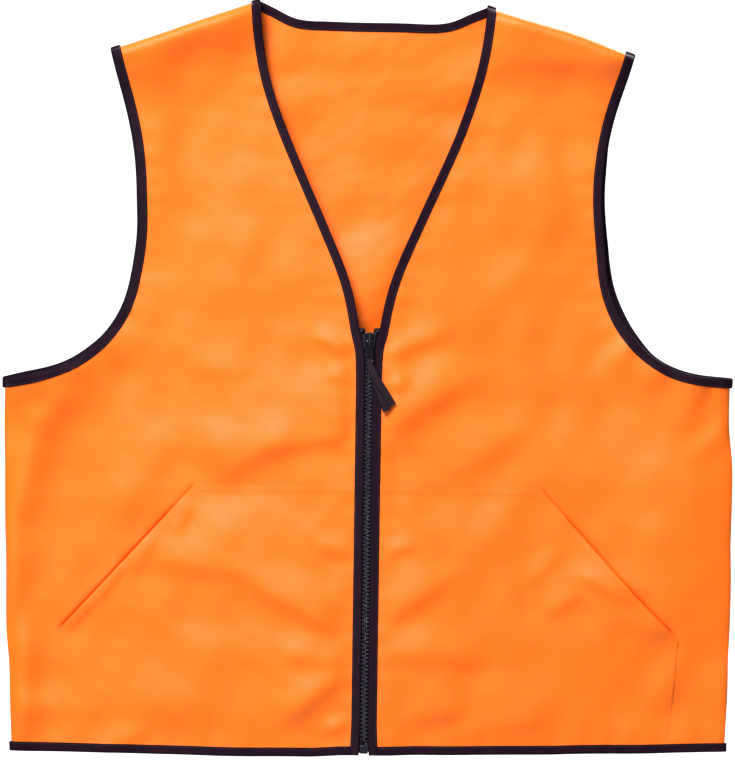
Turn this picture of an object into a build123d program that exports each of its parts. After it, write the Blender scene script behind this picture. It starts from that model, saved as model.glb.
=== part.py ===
"""Blaze orange vest: a sleeveless, zip-front field vest of bound woven cloth.

Millimetres. +X is the wearer's left, the front faces -Y, +Z is up. The origin is midway
between the two neck points, at the top of the shoulders, where the vest hangs.
The front is folded from flat facets: a flap each side of the zip, which opens about a
diagonal crease from the neck point to the hem's side corner, and a side facet beyond it.
The back is one ruled sheet that bulges towards the hem.
Outlines are drawn on the XZ plane as seen from the front, in (x, z), for the +X half.
"""

import os
from math import atan, cos, degrees, hypot, sin

from build123d import *

# Garment outline
NECK_HALF = 109.5
SHOULDER_HALF = 232.5
SHOULDER_DROP = 42
CHEST_HALF = 322
UNDERARM_DROP = 337
HEM_HALF = 317
HEM_SIDE_DROP = 664
HEM_CENTRE_DROP = 667
FRONT_BULGE = 29
BACK_BULGE = 36
ZIP_TOP_DROP = 288.5

# Cloth, binding and zip sizes
CLOTH = 1.0
BINDING = 2.0
BINDING_WIDTH = 8.0
BINDING_SLOT = 1.1
FOLD = 0.5
SEAM_ALLOWANCE = 8.0
SEAM_FACE = 1.1
CREASE_GAP = 1.0
TAPE = 0.5
TAPE_WIDTH = 11.5
PITCH = 3.5
TOOTH_HEIGHT = 1.5
TOOTH_BACK, TOOTH_FRONT = -2.9, 0.5
SLIDER_TOP, SLIDER_BOTTOM = -292.0, -306.0
SLIDER_TRAVEL = 350.0
BOX_TOP, BOX_BOTTOM = -658.3, -665.6
BOX_HALF = 3.65
POCKET_DEPTH = 9.0
POCKET_WALL = 0.8

# Edge lines, from the top down. The cloth lies on the +X side of the front edge and of the
# back neck's lower side, and on the -X side of the armhole.
FRONT_EDGE = [
    (101.5, -1), (95.5, -50), (79, -104), (56.4, -157), (32.9, -210), (18.6, -246),
    (10.2, -281.5), (8, -293), (5.2, -304), (3.8, -318), (3.3, -340),
]
FRONT_EDGE_LOW = [(3.3, -640), (4.6, -672)]
ARMHOLE = [
    (236.5, -26), (230.5, -50), (219.3, -86), (209.5, -130), (206.6, -185), (210.5, -228),
    (219.5, -264), (240, -298), (266, -319.5), (296, -332.5), (326, -338),
]
BACK_ARMHOLE_REACH = 1.5
BACK_NECK = [(112, 4), (101.5, -1), (86.6, -6.2), (70.2, -12.8), (45, -16.6), (0, -17.6)]
POCKET = [(11.8, -426), (152, -427), (274.5, -562), (268, -655)]
POUCH = [(32, -438), (162, -438), (268.1, -555), (262, -648), (32, -648)]
HAND_SPACE = [(34, -440), (180, -440), (280, -550), (266, -553), (260, -646), (34, -646)]

# Reaches of cutting shapes beyond the cloth: sideways and down, up, past the centre line,
# past the side seams, and through the thickness
FAR = 760
ABOVE = 60
PAST_CENTRE = 30
PAST_SIDE = 8
DEEP = 90

# Small gaps: between strips that meet, between layers, and of the flap below the shoulder
STRIP_GAP = 0.1
LAYER_GAP = 0.05
PATCH_GAP = 0.3
FLAP_TOP_DROP = 1.5

crease_top = (NECK_HALF + 1, -0.34)
crease_low = (HEM_HALF, -HEM_SIDE_DROP)
crease_length = hypot(crease_low[0] - crease_top[0], crease_low[1] - crease_top[1])
crease_x = (crease_low[0] - crease_top[0]) / crease_length
crease_z = (crease_low[1] - crease_top[1]) / crease_length
# Distance from the crease to the middle of the hem, which stands FRONT_BULGE forward
reach = -crease_top[0] * crease_z + (HEM_CENTRE_DROP + crease_top[1]) * crease_x
flap_tilt = atan(FRONT_BULGE / reach)


def crease_distance(x, z):
    """How far a front point lies inward of the crease."""
    return (x - crease_top[0]) * crease_z - (z - crease_top[1]) * crease_x


# Middle plane of the left flap: local x runs inward from the crease, z out of its face
inward = Vector(crease_z * cos(flap_tilt), -sin(flap_tilt), -crease_x * cos(flap_tilt))
flap_plane = Plane(
    origin=(crease_top[0], -SEAM_FACE, crease_top[1]),
    x_dir=inward,
    z_dir=inward.cross(Vector(crease_x, 0, crease_z)),
)
side_plane = Plane(origin=(0, -SEAM_FACE, 0), x_dir=(1, 0, 0), z_dir=(0, -1, 0))

# The zip lies where the two flap planes meet. Local x is +X, local y up the zip, z outward.
zip_at_neck = -SEAM_FACE - crease_distance(0, 0) * sin(flap_tilt) / cos(flap_tilt)
zip_lean = atan(crease_x * sin(flap_tilt) / cos(flap_tilt))
zip_plane = Plane(
    origin=(0, zip_at_neck, 0),
    x_dir=(1, 0, 0),
    z_dir=(0, -cos(zip_lean), sin(zip_lean)),
)


def shifted(points, distance):
    """Points of an edge line moved sideways; a positive distance is towards +X."""
    moved = []
    for i, (x, z) in enumerate(points):
        x0, z0 = points[max(i - 1, 0)]
        x1, z1 = points[min(i + 1, len(points) - 1)]
        run = hypot(x1 - x0, z1 - z0)
        moved.append((x - distance * (z1 - z0) / run, z + distance * (x1 - x0) / run))
    return moved


def region(curve_points, closing, mode=Mode.ADD):
    """A face bounded by a smooth curve and a chain of straight lines back to its start."""
    with BuildLine() as outline:
        Spline(*curve_points)
        Polyline(curve_points[-1], *closing, curve_points[0])
    make_face(outline.edges(), mode=mode)


def front_opening(grow, mode):
    """Everything between the centre line and the front edge, grown into the cloth."""
    low = [(x + grow, z) for x, z in FRONT_EDGE_LOW]
    curve = shifted(FRONT_EDGE, grow)
    region(curve, [*low, (-PAST_CENTRE, low[-1][1]), (-PAST_CENTRE, ABOVE),
                   (curve[0][0], ABOVE)], mode)


def armhole_opening(grow, mode, reach_in=0.0, side=1):
    """Everything outside one armhole's edge, grown into the cloth."""
    curve = [(side * x, z) for x, z in shifted(ARMHOLE, -grow + reach_in)]
    far = side * FAR
    region(curve, [(far, curve[-1][1]), (far, ABOVE), (curve[0][0], ABOVE)], mode)


def back_neck_opening(grow, mode):
    """Everything above the back neckline, grown down into the cloth."""
    half = shifted(BACK_NECK, grow)
    curve = half + [(-x, z) for x, z in reversed(half[:-1])]
    wide = NECK_HALF + PAST_SIDE
    region(curve, [(-wide, ABOVE), (wide, ABOVE)], mode)


def hem_cut(grow, mode):
    """Everything below the hem line, raised into the cloth."""
    side, centre = -HEM_SIDE_DROP + grow, -HEM_CENTRE_DROP + grow
    wide = HEM_HALF + PAST_SIDE
    with BuildLine() as outline:
        ThreePointArc((-wide, side), (0, centre), (wide, side))
        Polyline((wide, side), (wide, -FAR), (-wide, -FAR), (-wide, side))
    make_face(outline.edges(), mode=mode)


def torso(halves, mode=Mode.ADD, top_drop=0.0, inset=0.0):
    """One or both halves between the shoulder seams and the side seams, hem uncut."""
    slope = SHOULDER_DROP / (SHOULDER_HALF - NECK_HALF)
    taper = (CHEST_HALF - HEM_HALF) / (HEM_SIDE_DROP - UNDERARM_DROP)
    side_top = CHEST_HALF + UNDERARM_DROP * taper - inset
    side_low = CHEST_HALF - (FAR - UNDERARM_DROP) * taper - inset
    top = slope * NECK_HALF - top_drop
    sides = [(0, top), (side_top, top - slope * side_top), (side_low, -FAR)]
    if halves == 1:
        Polygon(*sides, (0, -FAR), align=None, mode=mode)
    else:
        Polygon(*sides, *[(-x, z) for x, z in reversed(sides[1:])], align=None, mode=mode)


def beyond_crease(mode):
    """The side of the crease towards the armhole, cut away or kept, with half the gap."""
    shift = -CREASE_GAP / 2 if mode == Mode.SUBTRACT else CREASE_GAP / 2
    far = 2 * FAR
    top, low = shifted([crease_top, crease_low], shift)
    top = (top[0] - crease_x * far, top[1] - crease_z * far)
    low = (low[0] + crease_x * far, low[1] + crease_z * far)
    out = far * 2
    Polygon(top, low, (low[0] + out, low[1]), (top[0] + out, top[1]),
            align=None, mode=mode)


def flap_outline(edge, hem):
    """Cloth of the left flap, with its front edge and hem drawn in from the fold."""
    torso(1, top_drop=FLAP_TOP_DROP)
    front_opening(edge, Mode.SUBTRACT)
    hem_cut(hem, Mode.SUBTRACT)
    beyond_crease(Mode.SUBTRACT)


def side_outline(edge):
    """Cloth of the left side facet, with its armhole drawn in from the fold."""
    torso(1)
    beyond_crease(Mode.INTERSECT)
    armhole_opening(edge, Mode.SUBTRACT)
    hem_cut(0, Mode.SUBTRACT)


def keep_layer(plane, low, high):
    """Keeps the part of the builder's solid between two offsets of a plane."""
    with BuildSketch(plane.offset(low)) as layer:
        Rectangle(4 * FAR, 4 * FAR)
    extrude(layer.sketch, amount=high - low, mode=Mode.INTERSECT)


def back_layer(low, high):
    """A sheet that follows the back between two depths behind and before its middle."""
    half = CHEST_HALF + 0.5
    with BuildPart() as layer:
        for drop, bulge in ((0, 0), (HEM_CENTRE_DROP + 3, BACK_BULGE)):
            near, away = SEAM_FACE + low, SEAM_FACE + high
            with BuildSketch(Plane.XY.offset(-drop)):
                with BuildLine():
                    if bulge:
                        ThreePointArc((-half, near), (0, near + bulge), (half, near))
                    else:
                        Line((-half, near), (half, near))
                    Line((half, near), (half, away))
                    if bulge:
                        ThreePointArc((half, away), (0, away + bulge), (-half, away))
                    else:
                        Line((half, away), (-half, away))
                    Line((-half, away), (-half, near))
                make_face()
        loft(ruled=True)
    return layer.part


back_cloth = back_layer(-CLOTH / 2, CLOTH / 2)
back_thick = back_layer(-BINDING / 2, BINDING / 2)
back_slot = back_layer(-BINDING_SLOT / 2, BINDING_SLOT / 2)
back_inside = back_layer(-12, 0)


def full_back(inset):
    """The back's outline, drawn in from the folds of its edges."""
    torso(2)
    for side in (-1, 1):
        armhole_opening(inset, Mode.SUBTRACT, BACK_ARMHOLE_REACH, side)
    back_neck_opening(inset, Mode.SUBTRACT)
    hem_cut(inset, Mode.SUBTRACT)


# ---------------------------------------------------------------- back of the vest
# Seam allowances at the shoulders and sides, which the front's side facets are sewn to
with BuildPart() as seams:
    with BuildSketch(Plane.XZ.offset(SEAM_FACE - CLOTH / 2)):
        torso(1)
        torso(1, Mode.SUBTRACT, SEAM_ALLOWANCE, SEAM_ALLOWANCE)
        armhole_opening(BINDING_WIDTH + STRIP_GAP, Mode.SUBTRACT)
        hem_cut(BINDING_WIDTH + BINDING, Mode.SUBTRACT)
        beyond_crease(Mode.INTERSECT)
        with Locations((NECK_HALF, 0)):
            Circle(BINDING_WIDTH, mode=Mode.SUBTRACT)
    extrude(amount=-30)
    add(back_inside, mode=Mode.INTERSECT)
    mirror(about=Plane.YZ)

with BuildPart() as back_panel:
    with BuildSketch(Plane.XZ):
        full_back(FOLD)
    extrude(amount=DEEP, both=True)
    add(back_cloth, mode=Mode.INTERSECT)
    add(seams.part)
back_panel.part.label = "back_panel"


def back_binding(band, slot):
    """A strip folded over the edge of the back: band and slot draw its outline."""
    with BuildPart() as groove:
        with BuildSketch(Plane.XZ):
            slot()
        extrude(amount=DEEP, both=True)
        add(back_slot, mode=Mode.INTERSECT)
    with BuildPart() as strip:
        with BuildSketch(Plane.XZ):
            band()
        extrude(amount=DEEP, both=True)
        add(back_thick, mode=Mode.INTERSECT)
        add(groove.part, mode=Mode.SUBTRACT)
    return strip.part


def back_neck_band(depth):
    """The back neck's strip, drawn in from its fold by a depth."""
    back_neck_opening(BINDING_WIDTH, Mode.ADD)
    back_neck_opening(depth, Mode.SUBTRACT)
    torso(2, Mode.INTERSECT)


back_neck_binding = back_binding(lambda: back_neck_band(0), lambda: back_neck_band(FOLD))
back_neck_binding.label = "back_neck_binding"


def back_hem_band(depth):
    """The back hem's strip, drawn in from its fold by a depth."""
    hem_cut(BINDING_WIDTH, Mode.ADD)
    hem_cut(depth, Mode.SUBTRACT)
    torso(2, Mode.INTERSECT)


back_hem_binding = back_binding(lambda: back_hem_band(0), lambda: back_hem_band(FOLD))
back_hem_binding.label = "back_hem_binding"


# ---------------------------------------------------------------- left side facet
with BuildPart() as front_side_left:
    with BuildSketch(Plane.XZ):
        side_outline(FOLD)
    extrude(amount=DEEP, both=True)
    keep_layer(side_plane, -CLOTH / 2, CLOTH / 2)
front_side_left.part.label = "front_side_left"


def armhole_band(depth, reach_in=0.0):
    """One armhole's strip, drawn in from its fold by a depth."""
    armhole_opening(BINDING_WIDTH, Mode.ADD, reach_in)
    armhole_opening(depth, Mode.SUBTRACT, reach_in)
    torso(1, Mode.INTERSECT)


with BuildPart() as front_groove:
    with BuildSketch(Plane.XZ):
        armhole_band(FOLD)
    extrude(amount=DEEP, both=True)
    keep_layer(side_plane, -BINDING_SLOT / 2, BINDING_SLOT / 2)

# Where the strip turns from front to back, at the shoulder seam and under the arm
with BuildPart() as seam_turns:
    with BuildSketch(Plane.XZ.offset(0.3)):
        armhole_band(0)
        torso(1, Mode.SUBTRACT, 2, 2)
    extrude(amount=-12)
    add(back_layer(-30, -BINDING_SLOT / 2 - 0.1), mode=Mode.INTERSECT)

with BuildPart() as armhole_binding_left:
    with BuildSketch(Plane.XZ):
        armhole_band(0)
    extrude(amount=DEEP, both=True)
    keep_layer(side_plane, -BINDING / 2, BINDING / 2)
    add(front_groove.part, mode=Mode.SUBTRACT)
    add(back_binding(lambda: armhole_band(0, BACK_ARMHOLE_REACH),
                     lambda: armhole_band(FOLD, BACK_ARMHOLE_REACH)))
    add(seam_turns.part)
armhole_binding_left.part.label = "armhole_binding_left"

# ---------------------------------------------------------------- left flap
with BuildPart() as front_panel_left:
    with BuildSketch(Plane.XZ):
        flap_outline(FOLD, FOLD)
    extrude(amount=DEEP, both=True)
    keep_layer(flap_plane, -CLOTH / 2, CLOTH / 2)
front_panel_left.part.label = "front_panel_left"


def flap_binding(band):
    """A strip folded over an edge of the flap: band draws its outline from a depth."""
    with BuildPart() as groove:
        with BuildSketch(Plane.XZ):
            band(FOLD)
        extrude(amount=DEEP, both=True)
        keep_layer(flap_plane, -BINDING_SLOT / 2, BINDING_SLOT / 2)
    with BuildPart() as strip:
        with BuildSketch(Plane.XZ):
            band(0)
        extrude(amount=DEEP, both=True)
        keep_layer(flap_plane, -BINDING / 2, BINDING / 2)
        add(groove.part, mode=Mode.SUBTRACT)
    return strip.part


def front_edge_band(depth):
    """The left front edge's strip, drawn in from its fold by a depth."""
    front_opening(BINDING_WIDTH, Mode.ADD)
    front_opening(depth, Mode.SUBTRACT)
    torso(1, Mode.INTERSECT, top_drop=FLAP_TOP_DROP)
    hem_cut(depth, Mode.SUBTRACT)
    beyond_crease(Mode.SUBTRACT)


def front_hem_band(depth):
    """The left front hem's strip, drawn in from its fold by a depth."""
    hem_cut(BINDING_WIDTH, Mode.ADD)
    hem_cut(depth, Mode.SUBTRACT)
    torso(1, Mode.INTERSECT)
    front_opening(BINDING_WIDTH + STRIP_GAP, Mode.SUBTRACT)
    beyond_crease(Mode.SUBTRACT)


front_edge_binding_left = flap_binding(front_edge_band)
front_edge_binding_left.label = "front_edge_binding_left"
front_hem_binding_left = flap_binding(front_hem_band)
front_hem_binding_left.label = "front_hem_binding_left"

# Pocket: a patch sewn down along its top, inner, lower and outer edges. Its middle stands
# off the flap as a pouch, whose mouth is the slanted edge.
with BuildPart() as hand_space:
    with BuildSketch(Plane.XZ):
        Polygon(*HAND_SPACE, align=None)
    extrude(amount=DEEP, both=True)
    keep_layer(flap_plane, 0, CLOTH / 2 + POCKET_DEPTH - POCKET_WALL)

with BuildPart() as pouch:
    with BuildSketch(Plane.XZ):
        Polygon(*POUCH, align=None)
    extrude(amount=DEEP, both=True)
    keep_layer(flap_plane, CLOTH / 2, CLOTH / 2 + POCKET_DEPTH)

with BuildPart() as pocket_left:
    with BuildSketch(Plane.XZ):
        Polygon(*POCKET, (POCKET[0][0], -FAR), align=None)
        front_opening(BINDING_WIDTH + PATCH_GAP, Mode.SUBTRACT)
        hem_cut(BINDING_WIDTH + PATCH_GAP, Mode.SUBTRACT)
    extrude(amount=DEEP, both=True)
    keep_layer(flap_plane, CLOTH / 2, CLOTH / 2 + POCKET_WALL)
    add(pouch.part)
    add(hand_space.part, mode=Mode.SUBTRACT)
pocket_left.part.label = "pocket_left"


# ---------------------------------------------------------------- zip
TAPE_IN = 2.4
SPREAD, SPREAD_RISE = 3.2, 13.0


def row_spread(height):
    """How far a row of teeth stands off the closed chain as it leaves the slider."""
    above = height - SLIDER_BOTTOM
    return SPREAD * (above / SPREAD_RISE) ** 0.8 if above > 0 else 0.0


TAPE_EDGE = [
    (TAPE_IN + row_spread(z), z)
    for z in (-ZIP_TOP_DROP, -293, -297, -301, -304, -306, -312, -330)
]


def zip_tape(low):
    """The tape behind the left front edge, down to a given height."""
    with BuildPart() as tape:
        with BuildSketch(Plane.XZ):
            region(TAPE_EDGE, [(TAPE_IN, low), (TAPE_IN + TAPE_WIDTH, low),
                               (TAPE_IN + TAPE_WIDTH, -ZIP_TOP_DROP)])
        extrude(amount=DEEP, both=True)
        front_face = -BINDING / 2 - LAYER_GAP
        keep_layer(flap_plane, front_face - TAPE, front_face)
    return tape.part


zip_tape_left = zip_tape(BOX_TOP + 1)
zip_tape_left.label = "zip_tape_left"
zip_tape_right = mirror(zip_tape(BOX_BOTTOM + 1), about=Plane.YZ)
zip_tape_right.label = "zip_tape_right"


def teeth_row(side, first):
    """One row of moulded teeth, from just below the top stop to the box."""
    half = TOOTH_HEIGHT / 2
    with BuildPart() as row:
        with BuildSketch(zip_plane.offset(TOOTH_BACK)):
            height = first
            while height > BOX_TOP + 3:
                at = row_spread(height)
                tip = [(3.0, half), (1.2, half), (0.7, half - 0.25), (0.1, half - 0.3),
                       (-0.5, half - 0.1), (-1.0, half - 0.35)]
                shape = tip + [(u, -v) for u, v in reversed(tip)]
                Polygon(*[(side * (u + at), v + height) for u, v in shape], align=None)
                height -= PITCH
        extrude(amount=TOOTH_FRONT - TOOTH_BACK)
    return row.part


FIRST_TOOTH = -293.6
zip_teeth_left = teeth_row(1, FIRST_TOOTH)
zip_teeth_left.label = "zip_teeth_left"
zip_teeth_right = teeth_row(-1, FIRST_TOOTH - PITCH / 2)
zip_teeth_right.label = "zip_teeth_right"

STOP_MIDDLE = -290.1
with BuildPart() as top_stop_left:
    with BuildSketch(zip_plane.offset(TOOTH_BACK)):
        with Locations((3.1 + row_spread(STOP_MIDDLE), STOP_MIDDLE)):
            RectangleRounded(2.6, 2.4, 0.6)
    extrude(amount=TOOTH_FRONT - TOOTH_BACK + 0.3)
top_stop_left.part.label = "top_stop_left"

# The pin at the foot of the left row drops into the box at the foot of the right row
PIN_LEFT, PIN_RIGHT = 0.6, 2.2
with BuildPart() as insertion_pin_left:
    with BuildSketch(zip_plane.offset(-2.4)):
        with BuildLine():
            Polyline((PIN_LEFT, BOX_BOTTOM + 1.6), (PIN_RIGHT, BOX_BOTTOM + 1.6),
                     (PIN_RIGHT, BOX_TOP + 0.2), (3.0, BOX_TOP + 0.4),
                     (3.0, BOX_TOP + 2.4), (PIN_LEFT, BOX_TOP + 2.4), close=True)
        make_face()
    extrude(amount=2.2)
insertion_pin_left.part.label = "insertion_pin_left"

with BuildPart() as retainer_box:
    with BuildSketch(zip_plane.offset(-3.3)):
        with Locations((0, (BOX_TOP + BOX_BOTTOM) / 2)):
            RectangleRounded(2 * BOX_HALF, BOX_TOP - BOX_BOTTOM, 0.7)
    extrude(amount=4.2)
    fillet(retainer_box.edges().filter_by(GeomType.LINE).group_by(Axis.Y)[0], radius=0.5)
    with BuildSketch(zip_plane.offset(-2.7)):
        Polygon((PIN_LEFT - 0.3, BOX_BOTTOM + 1.2), (PIN_RIGHT + 0.4, BOX_BOTTOM + 1.2),
                (PIN_RIGHT + 0.4, BOX_TOP + 1), (PIN_LEFT - 0.3, BOX_TOP + 1), align=None)
    extrude(amount=2.8, mode=Mode.SUBTRACT)
retainer_box.part.label = "retainer_box"

# Slider: two plates round the chain, joined by a post between the rows at the top, with
# a bridge on the front plate for the pull tab
PLATE_BACK, PLATE_FRONT, PLATE = -3.15, 1.0, 1.2
SLIDER_MIDDLE = (SLIDER_TOP + SLIDER_BOTTOM) / 2
EYE_MIDDLE = 3.4
THROUGH = 16


def cross_axis_plane(start, height, depth):
    """A plane across the vest at a point of the zip frame, for pins that run along +X."""
    return Plane(
        origin=zip_plane.from_local_coords((start, height, depth)),
        x_dir=zip_plane.y_dir, z_dir=(1, 0, 0),
    )


def slider_plate():
    """Outline of each plate, wide at the top where the rows come apart."""
    with BuildLine() as outline:
        Polyline((-4.6, SLIDER_BOTTOM + 0.4), (4.6, SLIDER_BOTTOM + 0.4),
                 (5.1, SLIDER_TOP - 5), (4.4, SLIDER_TOP - 0.8), (2.2, SLIDER_TOP),
                 (-2.2, SLIDER_TOP), (-4.4, SLIDER_TOP - 0.8), (-5.1, SLIDER_TOP - 5),
                 close=True)
    make_face(outline.edges())


with BuildPart() as slider_body:
    with BuildSketch(zip_plane.offset(PLATE_FRONT)):
        slider_plate()
    extrude(amount=PLATE)
    with BuildSketch(zip_plane.offset(PLATE_BACK)):
        slider_plate()
    extrude(amount=-PLATE)
    fillet(slider_body.faces().sort_by(Axis.Y)[0].edges(), radius=0.4)
    with BuildSketch(zip_plane.offset(PLATE_BACK - 0.2)):
        Polygon((-0.9, SLIDER_TOP - 0.2), (0.9, SLIDER_TOP - 0.2), (1.1, SLIDER_TOP - 1.5),
                (0.5, SLIDER_TOP - 4.3), (-0.5, SLIDER_TOP - 4.3),
                (-1.1, SLIDER_TOP - 1.5), align=None)
    extrude(amount=PLATE_FRONT - PLATE_BACK + 0.4)
    # Lips that keep the rows in line behind the tapes
    with BuildSketch(zip_plane.offset(PLATE_BACK - 0.2)):
        for side in (-1, 1):
            with Locations((side * 4.35, SLIDER_BOTTOM + 1.6)):
                Rectangle(0.5, 2.2)
    extrude(amount=0.8)
    # Bridge, with its eye cut through from side to side
    with BuildSketch(zip_plane.offset(PLATE_FRONT + PLATE - 0.2)):
        with Locations((0, SLIDER_MIDDLE)):
            RectangleRounded(2.0, 10.6, 0.6)
    extrude(amount=3.4)
    fillet(slider_body.faces().sort_by(Axis.Y)[0].edges(), radius=0.5)
    with BuildSketch(cross_axis_plane(-THROUGH / 2, SLIDER_MIDDLE - 0.6, EYE_MIDDLE)):
        RectangleRounded(7.4, 2.3, 0.9)
    extrude(amount=THROUGH, mode=Mode.SUBTRACT)
slider_body.part.label = "slider_body"

# Pull tab: a bar through the bridge's eye, two arms beside the bridge, and a plate with a
# slot for the fabric pull
TAB_AXIS = (SLIDER_MIDDLE - 1.0, EYE_MIDDLE)
TAB_TOP, TAB_BOTTOM = -305.6, -318.3
TAB_BACK, TAB = 2.6, 1.6
SLOT_TOP, SLOT_LOW = -313.6, -316.0
BAR_MIDDLE = ((SLOT_LOW + TAB_BOTTOM) / 2, TAB_BACK + TAB / 2)

with BuildPart() as pull_tab:
    with BuildSketch(zip_plane.offset(TAB_BACK)):
        with Locations((0, (TAB_TOP + TAB_BOTTOM) / 2)):
            RectangleRounded(7.4, TAB_TOP - TAB_BOTTOM, 1.2)
        with Locations((-2.1, (TAB_TOP + TAB_AXIS[0]) / 2 - 0.5),
                       (2.1, (TAB_TOP + TAB_AXIS[0]) / 2 - 0.5)):
            Rectangle(1.2, TAB_AXIS[0] - TAB_TOP + 1.0)
        with Locations((0, (SLOT_TOP + SLOT_LOW) / 2)):
            RectangleRounded(4.8, SLOT_TOP - SLOT_LOW, 0.4, mode=Mode.SUBTRACT)
    extrude(amount=TAB)
    with BuildSketch(cross_axis_plane(-2.7, *TAB_AXIS)):
        Circle(TAB / 2)
    extrude(amount=5.4)
pull_tab.part.label = "pull_tab"

# Fabric pull: a strip folded through the tab's slot, whose two legs hang to one side
LEG_WIDTH, LEG_NECK, STRIP = 7.6, 4.2, 0.8
RING_IN = 1.55


def leg_plane(start, end):
    """A plane at the start of a leg, with local y back along it and z out of its face."""
    across = Vector(start[1] - end[1], end[0] - start[0], 0).normalized()
    along = (Vector(*start) - Vector(*end)).normalized()
    face = across.cross(along)
    origin = zip_plane.from_local_coords(start)
    to_world = Plane(origin=(0, 0, 0), x_dir=zip_plane.x_dir, z_dir=zip_plane.z_dir)
    return Plane(
        origin=origin,
        x_dir=to_world.from_local_coords(tuple(across)),
        z_dir=to_world.from_local_coords(tuple(face)),
    )


BAR_V, BAR_W = BAR_MIDDLE
LEGS = [
    ((0, BAR_V - 1.6, BAR_W + 1.2), (18.0, -357.5, 8.8)),
    ((0, BAR_V - 1.9, BAR_W + 0.1), (11.2, -362.5, 6.6)),
]

with BuildPart() as pull_tape:
    with BuildSketch(cross_axis_plane(-LEG_NECK / 2, *BAR_MIDDLE)):
        Circle(RING_IN + STRIP)
    extrude(amount=LEG_NECK)
    for start, end in LEGS:
        length = (Vector(*start) - Vector(*end)).length
        with BuildSketch(leg_plane(start, end)):
            Polygon((-LEG_NECK / 2, 0), (LEG_NECK / 2, 0), (LEG_WIDTH / 2, -7),
                    (LEG_WIDTH / 2, -length), (-LEG_WIDTH / 2, -length),
                    (-LEG_WIDTH / 2, -7), align=None)
        extrude(amount=STRIP / 2, both=True)
    with BuildSketch(cross_axis_plane(-THROUGH / 2, *BAR_MIDDLE)):
        Circle(RING_IN)
    extrude(amount=THROUGH, mode=Mode.SUBTRACT)
pull_tape.part.label = "pull_tape"

# ---------------------------------------------------------------- export
finished = [
    back_panel.part, back_neck_binding, back_hem_binding, front_side_left.part,
    armhole_binding_left.part, front_panel_left.part, front_edge_binding_left,
    front_hem_binding_left, pocket_left.part, zip_tape_left, zip_tape_right,
    zip_teeth_left, zip_teeth_right, top_stop_left.part, insertion_pin_left.part,
    retainer_box.part, slider_body.part, pull_tab.part, pull_tape.part,
]
paired = [
    front_side_left.part, armhole_binding_left.part, front_panel_left.part,
    front_edge_binding_left, front_hem_binding_left, pocket_left.part,
    top_stop_left.part,
]
for piece in paired:
    with BuildPart() as twin:
        mirror(piece, about=Plane.YZ)
    twin.part.label = piece.label.replace("left", "right")
    finished.append(twin.part)

os.makedirs("parts", exist_ok=True)
for piece in finished:
    export_step(piece, f"parts/{piece.label}.step")

for name, point in (("tab hinge", TAB_AXIS), ("fabric pull hinge", BAR_MIDDLE)):
    print(name, zip_plane.from_local_coords((0, *point)))
print("crease", crease_top, crease_low, "zip lean", degrees(zip_lean))
print("slide", -zip_plane.y_dir, SLIDER_TRAVEL)
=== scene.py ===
"""Blaze orange vest: looks. A sleeveless, zip-front field vest of bound woven cloth.

Shapes are worked out in millimetres in the CAD frame and written to meshes in metres:
+X is the wearer's left, the front faces -Y, +Z is up.
"""
from math import ceil, cos, hypot, pi, radians, sin

import bmesh
import bpy
import numpy as np
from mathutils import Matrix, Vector
from mathutils.geometry import delaunay_2d_cdt
from mathutils.kdtree import KDTree


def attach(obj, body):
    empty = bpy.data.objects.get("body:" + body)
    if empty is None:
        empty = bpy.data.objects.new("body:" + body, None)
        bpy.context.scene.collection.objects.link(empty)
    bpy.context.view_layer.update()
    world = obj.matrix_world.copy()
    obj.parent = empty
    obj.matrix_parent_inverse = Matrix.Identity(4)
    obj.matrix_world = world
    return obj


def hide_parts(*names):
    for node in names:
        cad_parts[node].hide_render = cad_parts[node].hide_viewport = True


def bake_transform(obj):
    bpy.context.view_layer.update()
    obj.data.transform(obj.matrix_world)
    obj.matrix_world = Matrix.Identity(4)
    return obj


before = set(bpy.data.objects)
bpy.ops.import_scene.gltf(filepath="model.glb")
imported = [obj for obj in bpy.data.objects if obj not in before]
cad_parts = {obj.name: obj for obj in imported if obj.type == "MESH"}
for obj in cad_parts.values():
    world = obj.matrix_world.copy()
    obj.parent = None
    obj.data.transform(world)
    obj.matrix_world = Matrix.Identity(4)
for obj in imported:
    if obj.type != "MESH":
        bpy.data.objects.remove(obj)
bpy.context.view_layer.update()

MM = 0.001
LABEL = {1: "left", -1: "right"}

# ------------------------------------------------------------ sizes, as in part.py
NECK_HALF, SHOULDER_HALF, SHOULDER_DROP = 109.5, 232.5, 42.0
CHEST_HALF, UNDERARM_DROP = 322.0, 337.0
HEM_HALF, HEM_SIDE_DROP, HEM_CENTRE_DROP = 317.0, 664.0, 667.0
BACK_BULGE = 36.0
BINDING_WIDTH = 8.0
ZIP_TOP, ZIP_LOW = -288.5, -659.5
FRONT_EDGE = [
    (101.5, -1), (95.5, -50), (79, -104), (56.4, -157), (32.9, -210), (18.6, -246),
    (10.2, -281.5), (8, -293), (5.2, -304), (3.8, -318), (3.3, -340),
]
ARMHOLE = [
    (236.5, -26), (230.5, -50), (219.3, -86), (209.5, -130), (206.6, -185), (210.5, -228),
    (219.5, -264), (240, -298), (266, -319.5), (296, -332.5), (326, -338),
]
BACK_ARMHOLE_REACH = 1.5
BACK_NECK = [(116, 5.8), (112, 4), (101.5, -1), (86.6, -6.2), (70.2, -12.8), (45, -16.6),
             (0, -17.6)]
# The patch pocket's corners, and its seams and slanted hand opening between them
POCKET = [(10, -426), (152, -427), (274.5, -562), (268, -655)]
TOP, MOUTH, OUTER = zip(POCKET[:-1], POCKET[1:])
POCKET_HEM, POCKET_LIFT = 8.0, 3.6

SHOULDER_SLOPE = SHOULDER_DROP / (SHOULDER_HALF - NECK_HALF)
SIDE_TAPER = (CHEST_HALF - HEM_HALF) / (HEM_SIDE_DROP - UNDERARM_DROP)
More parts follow.
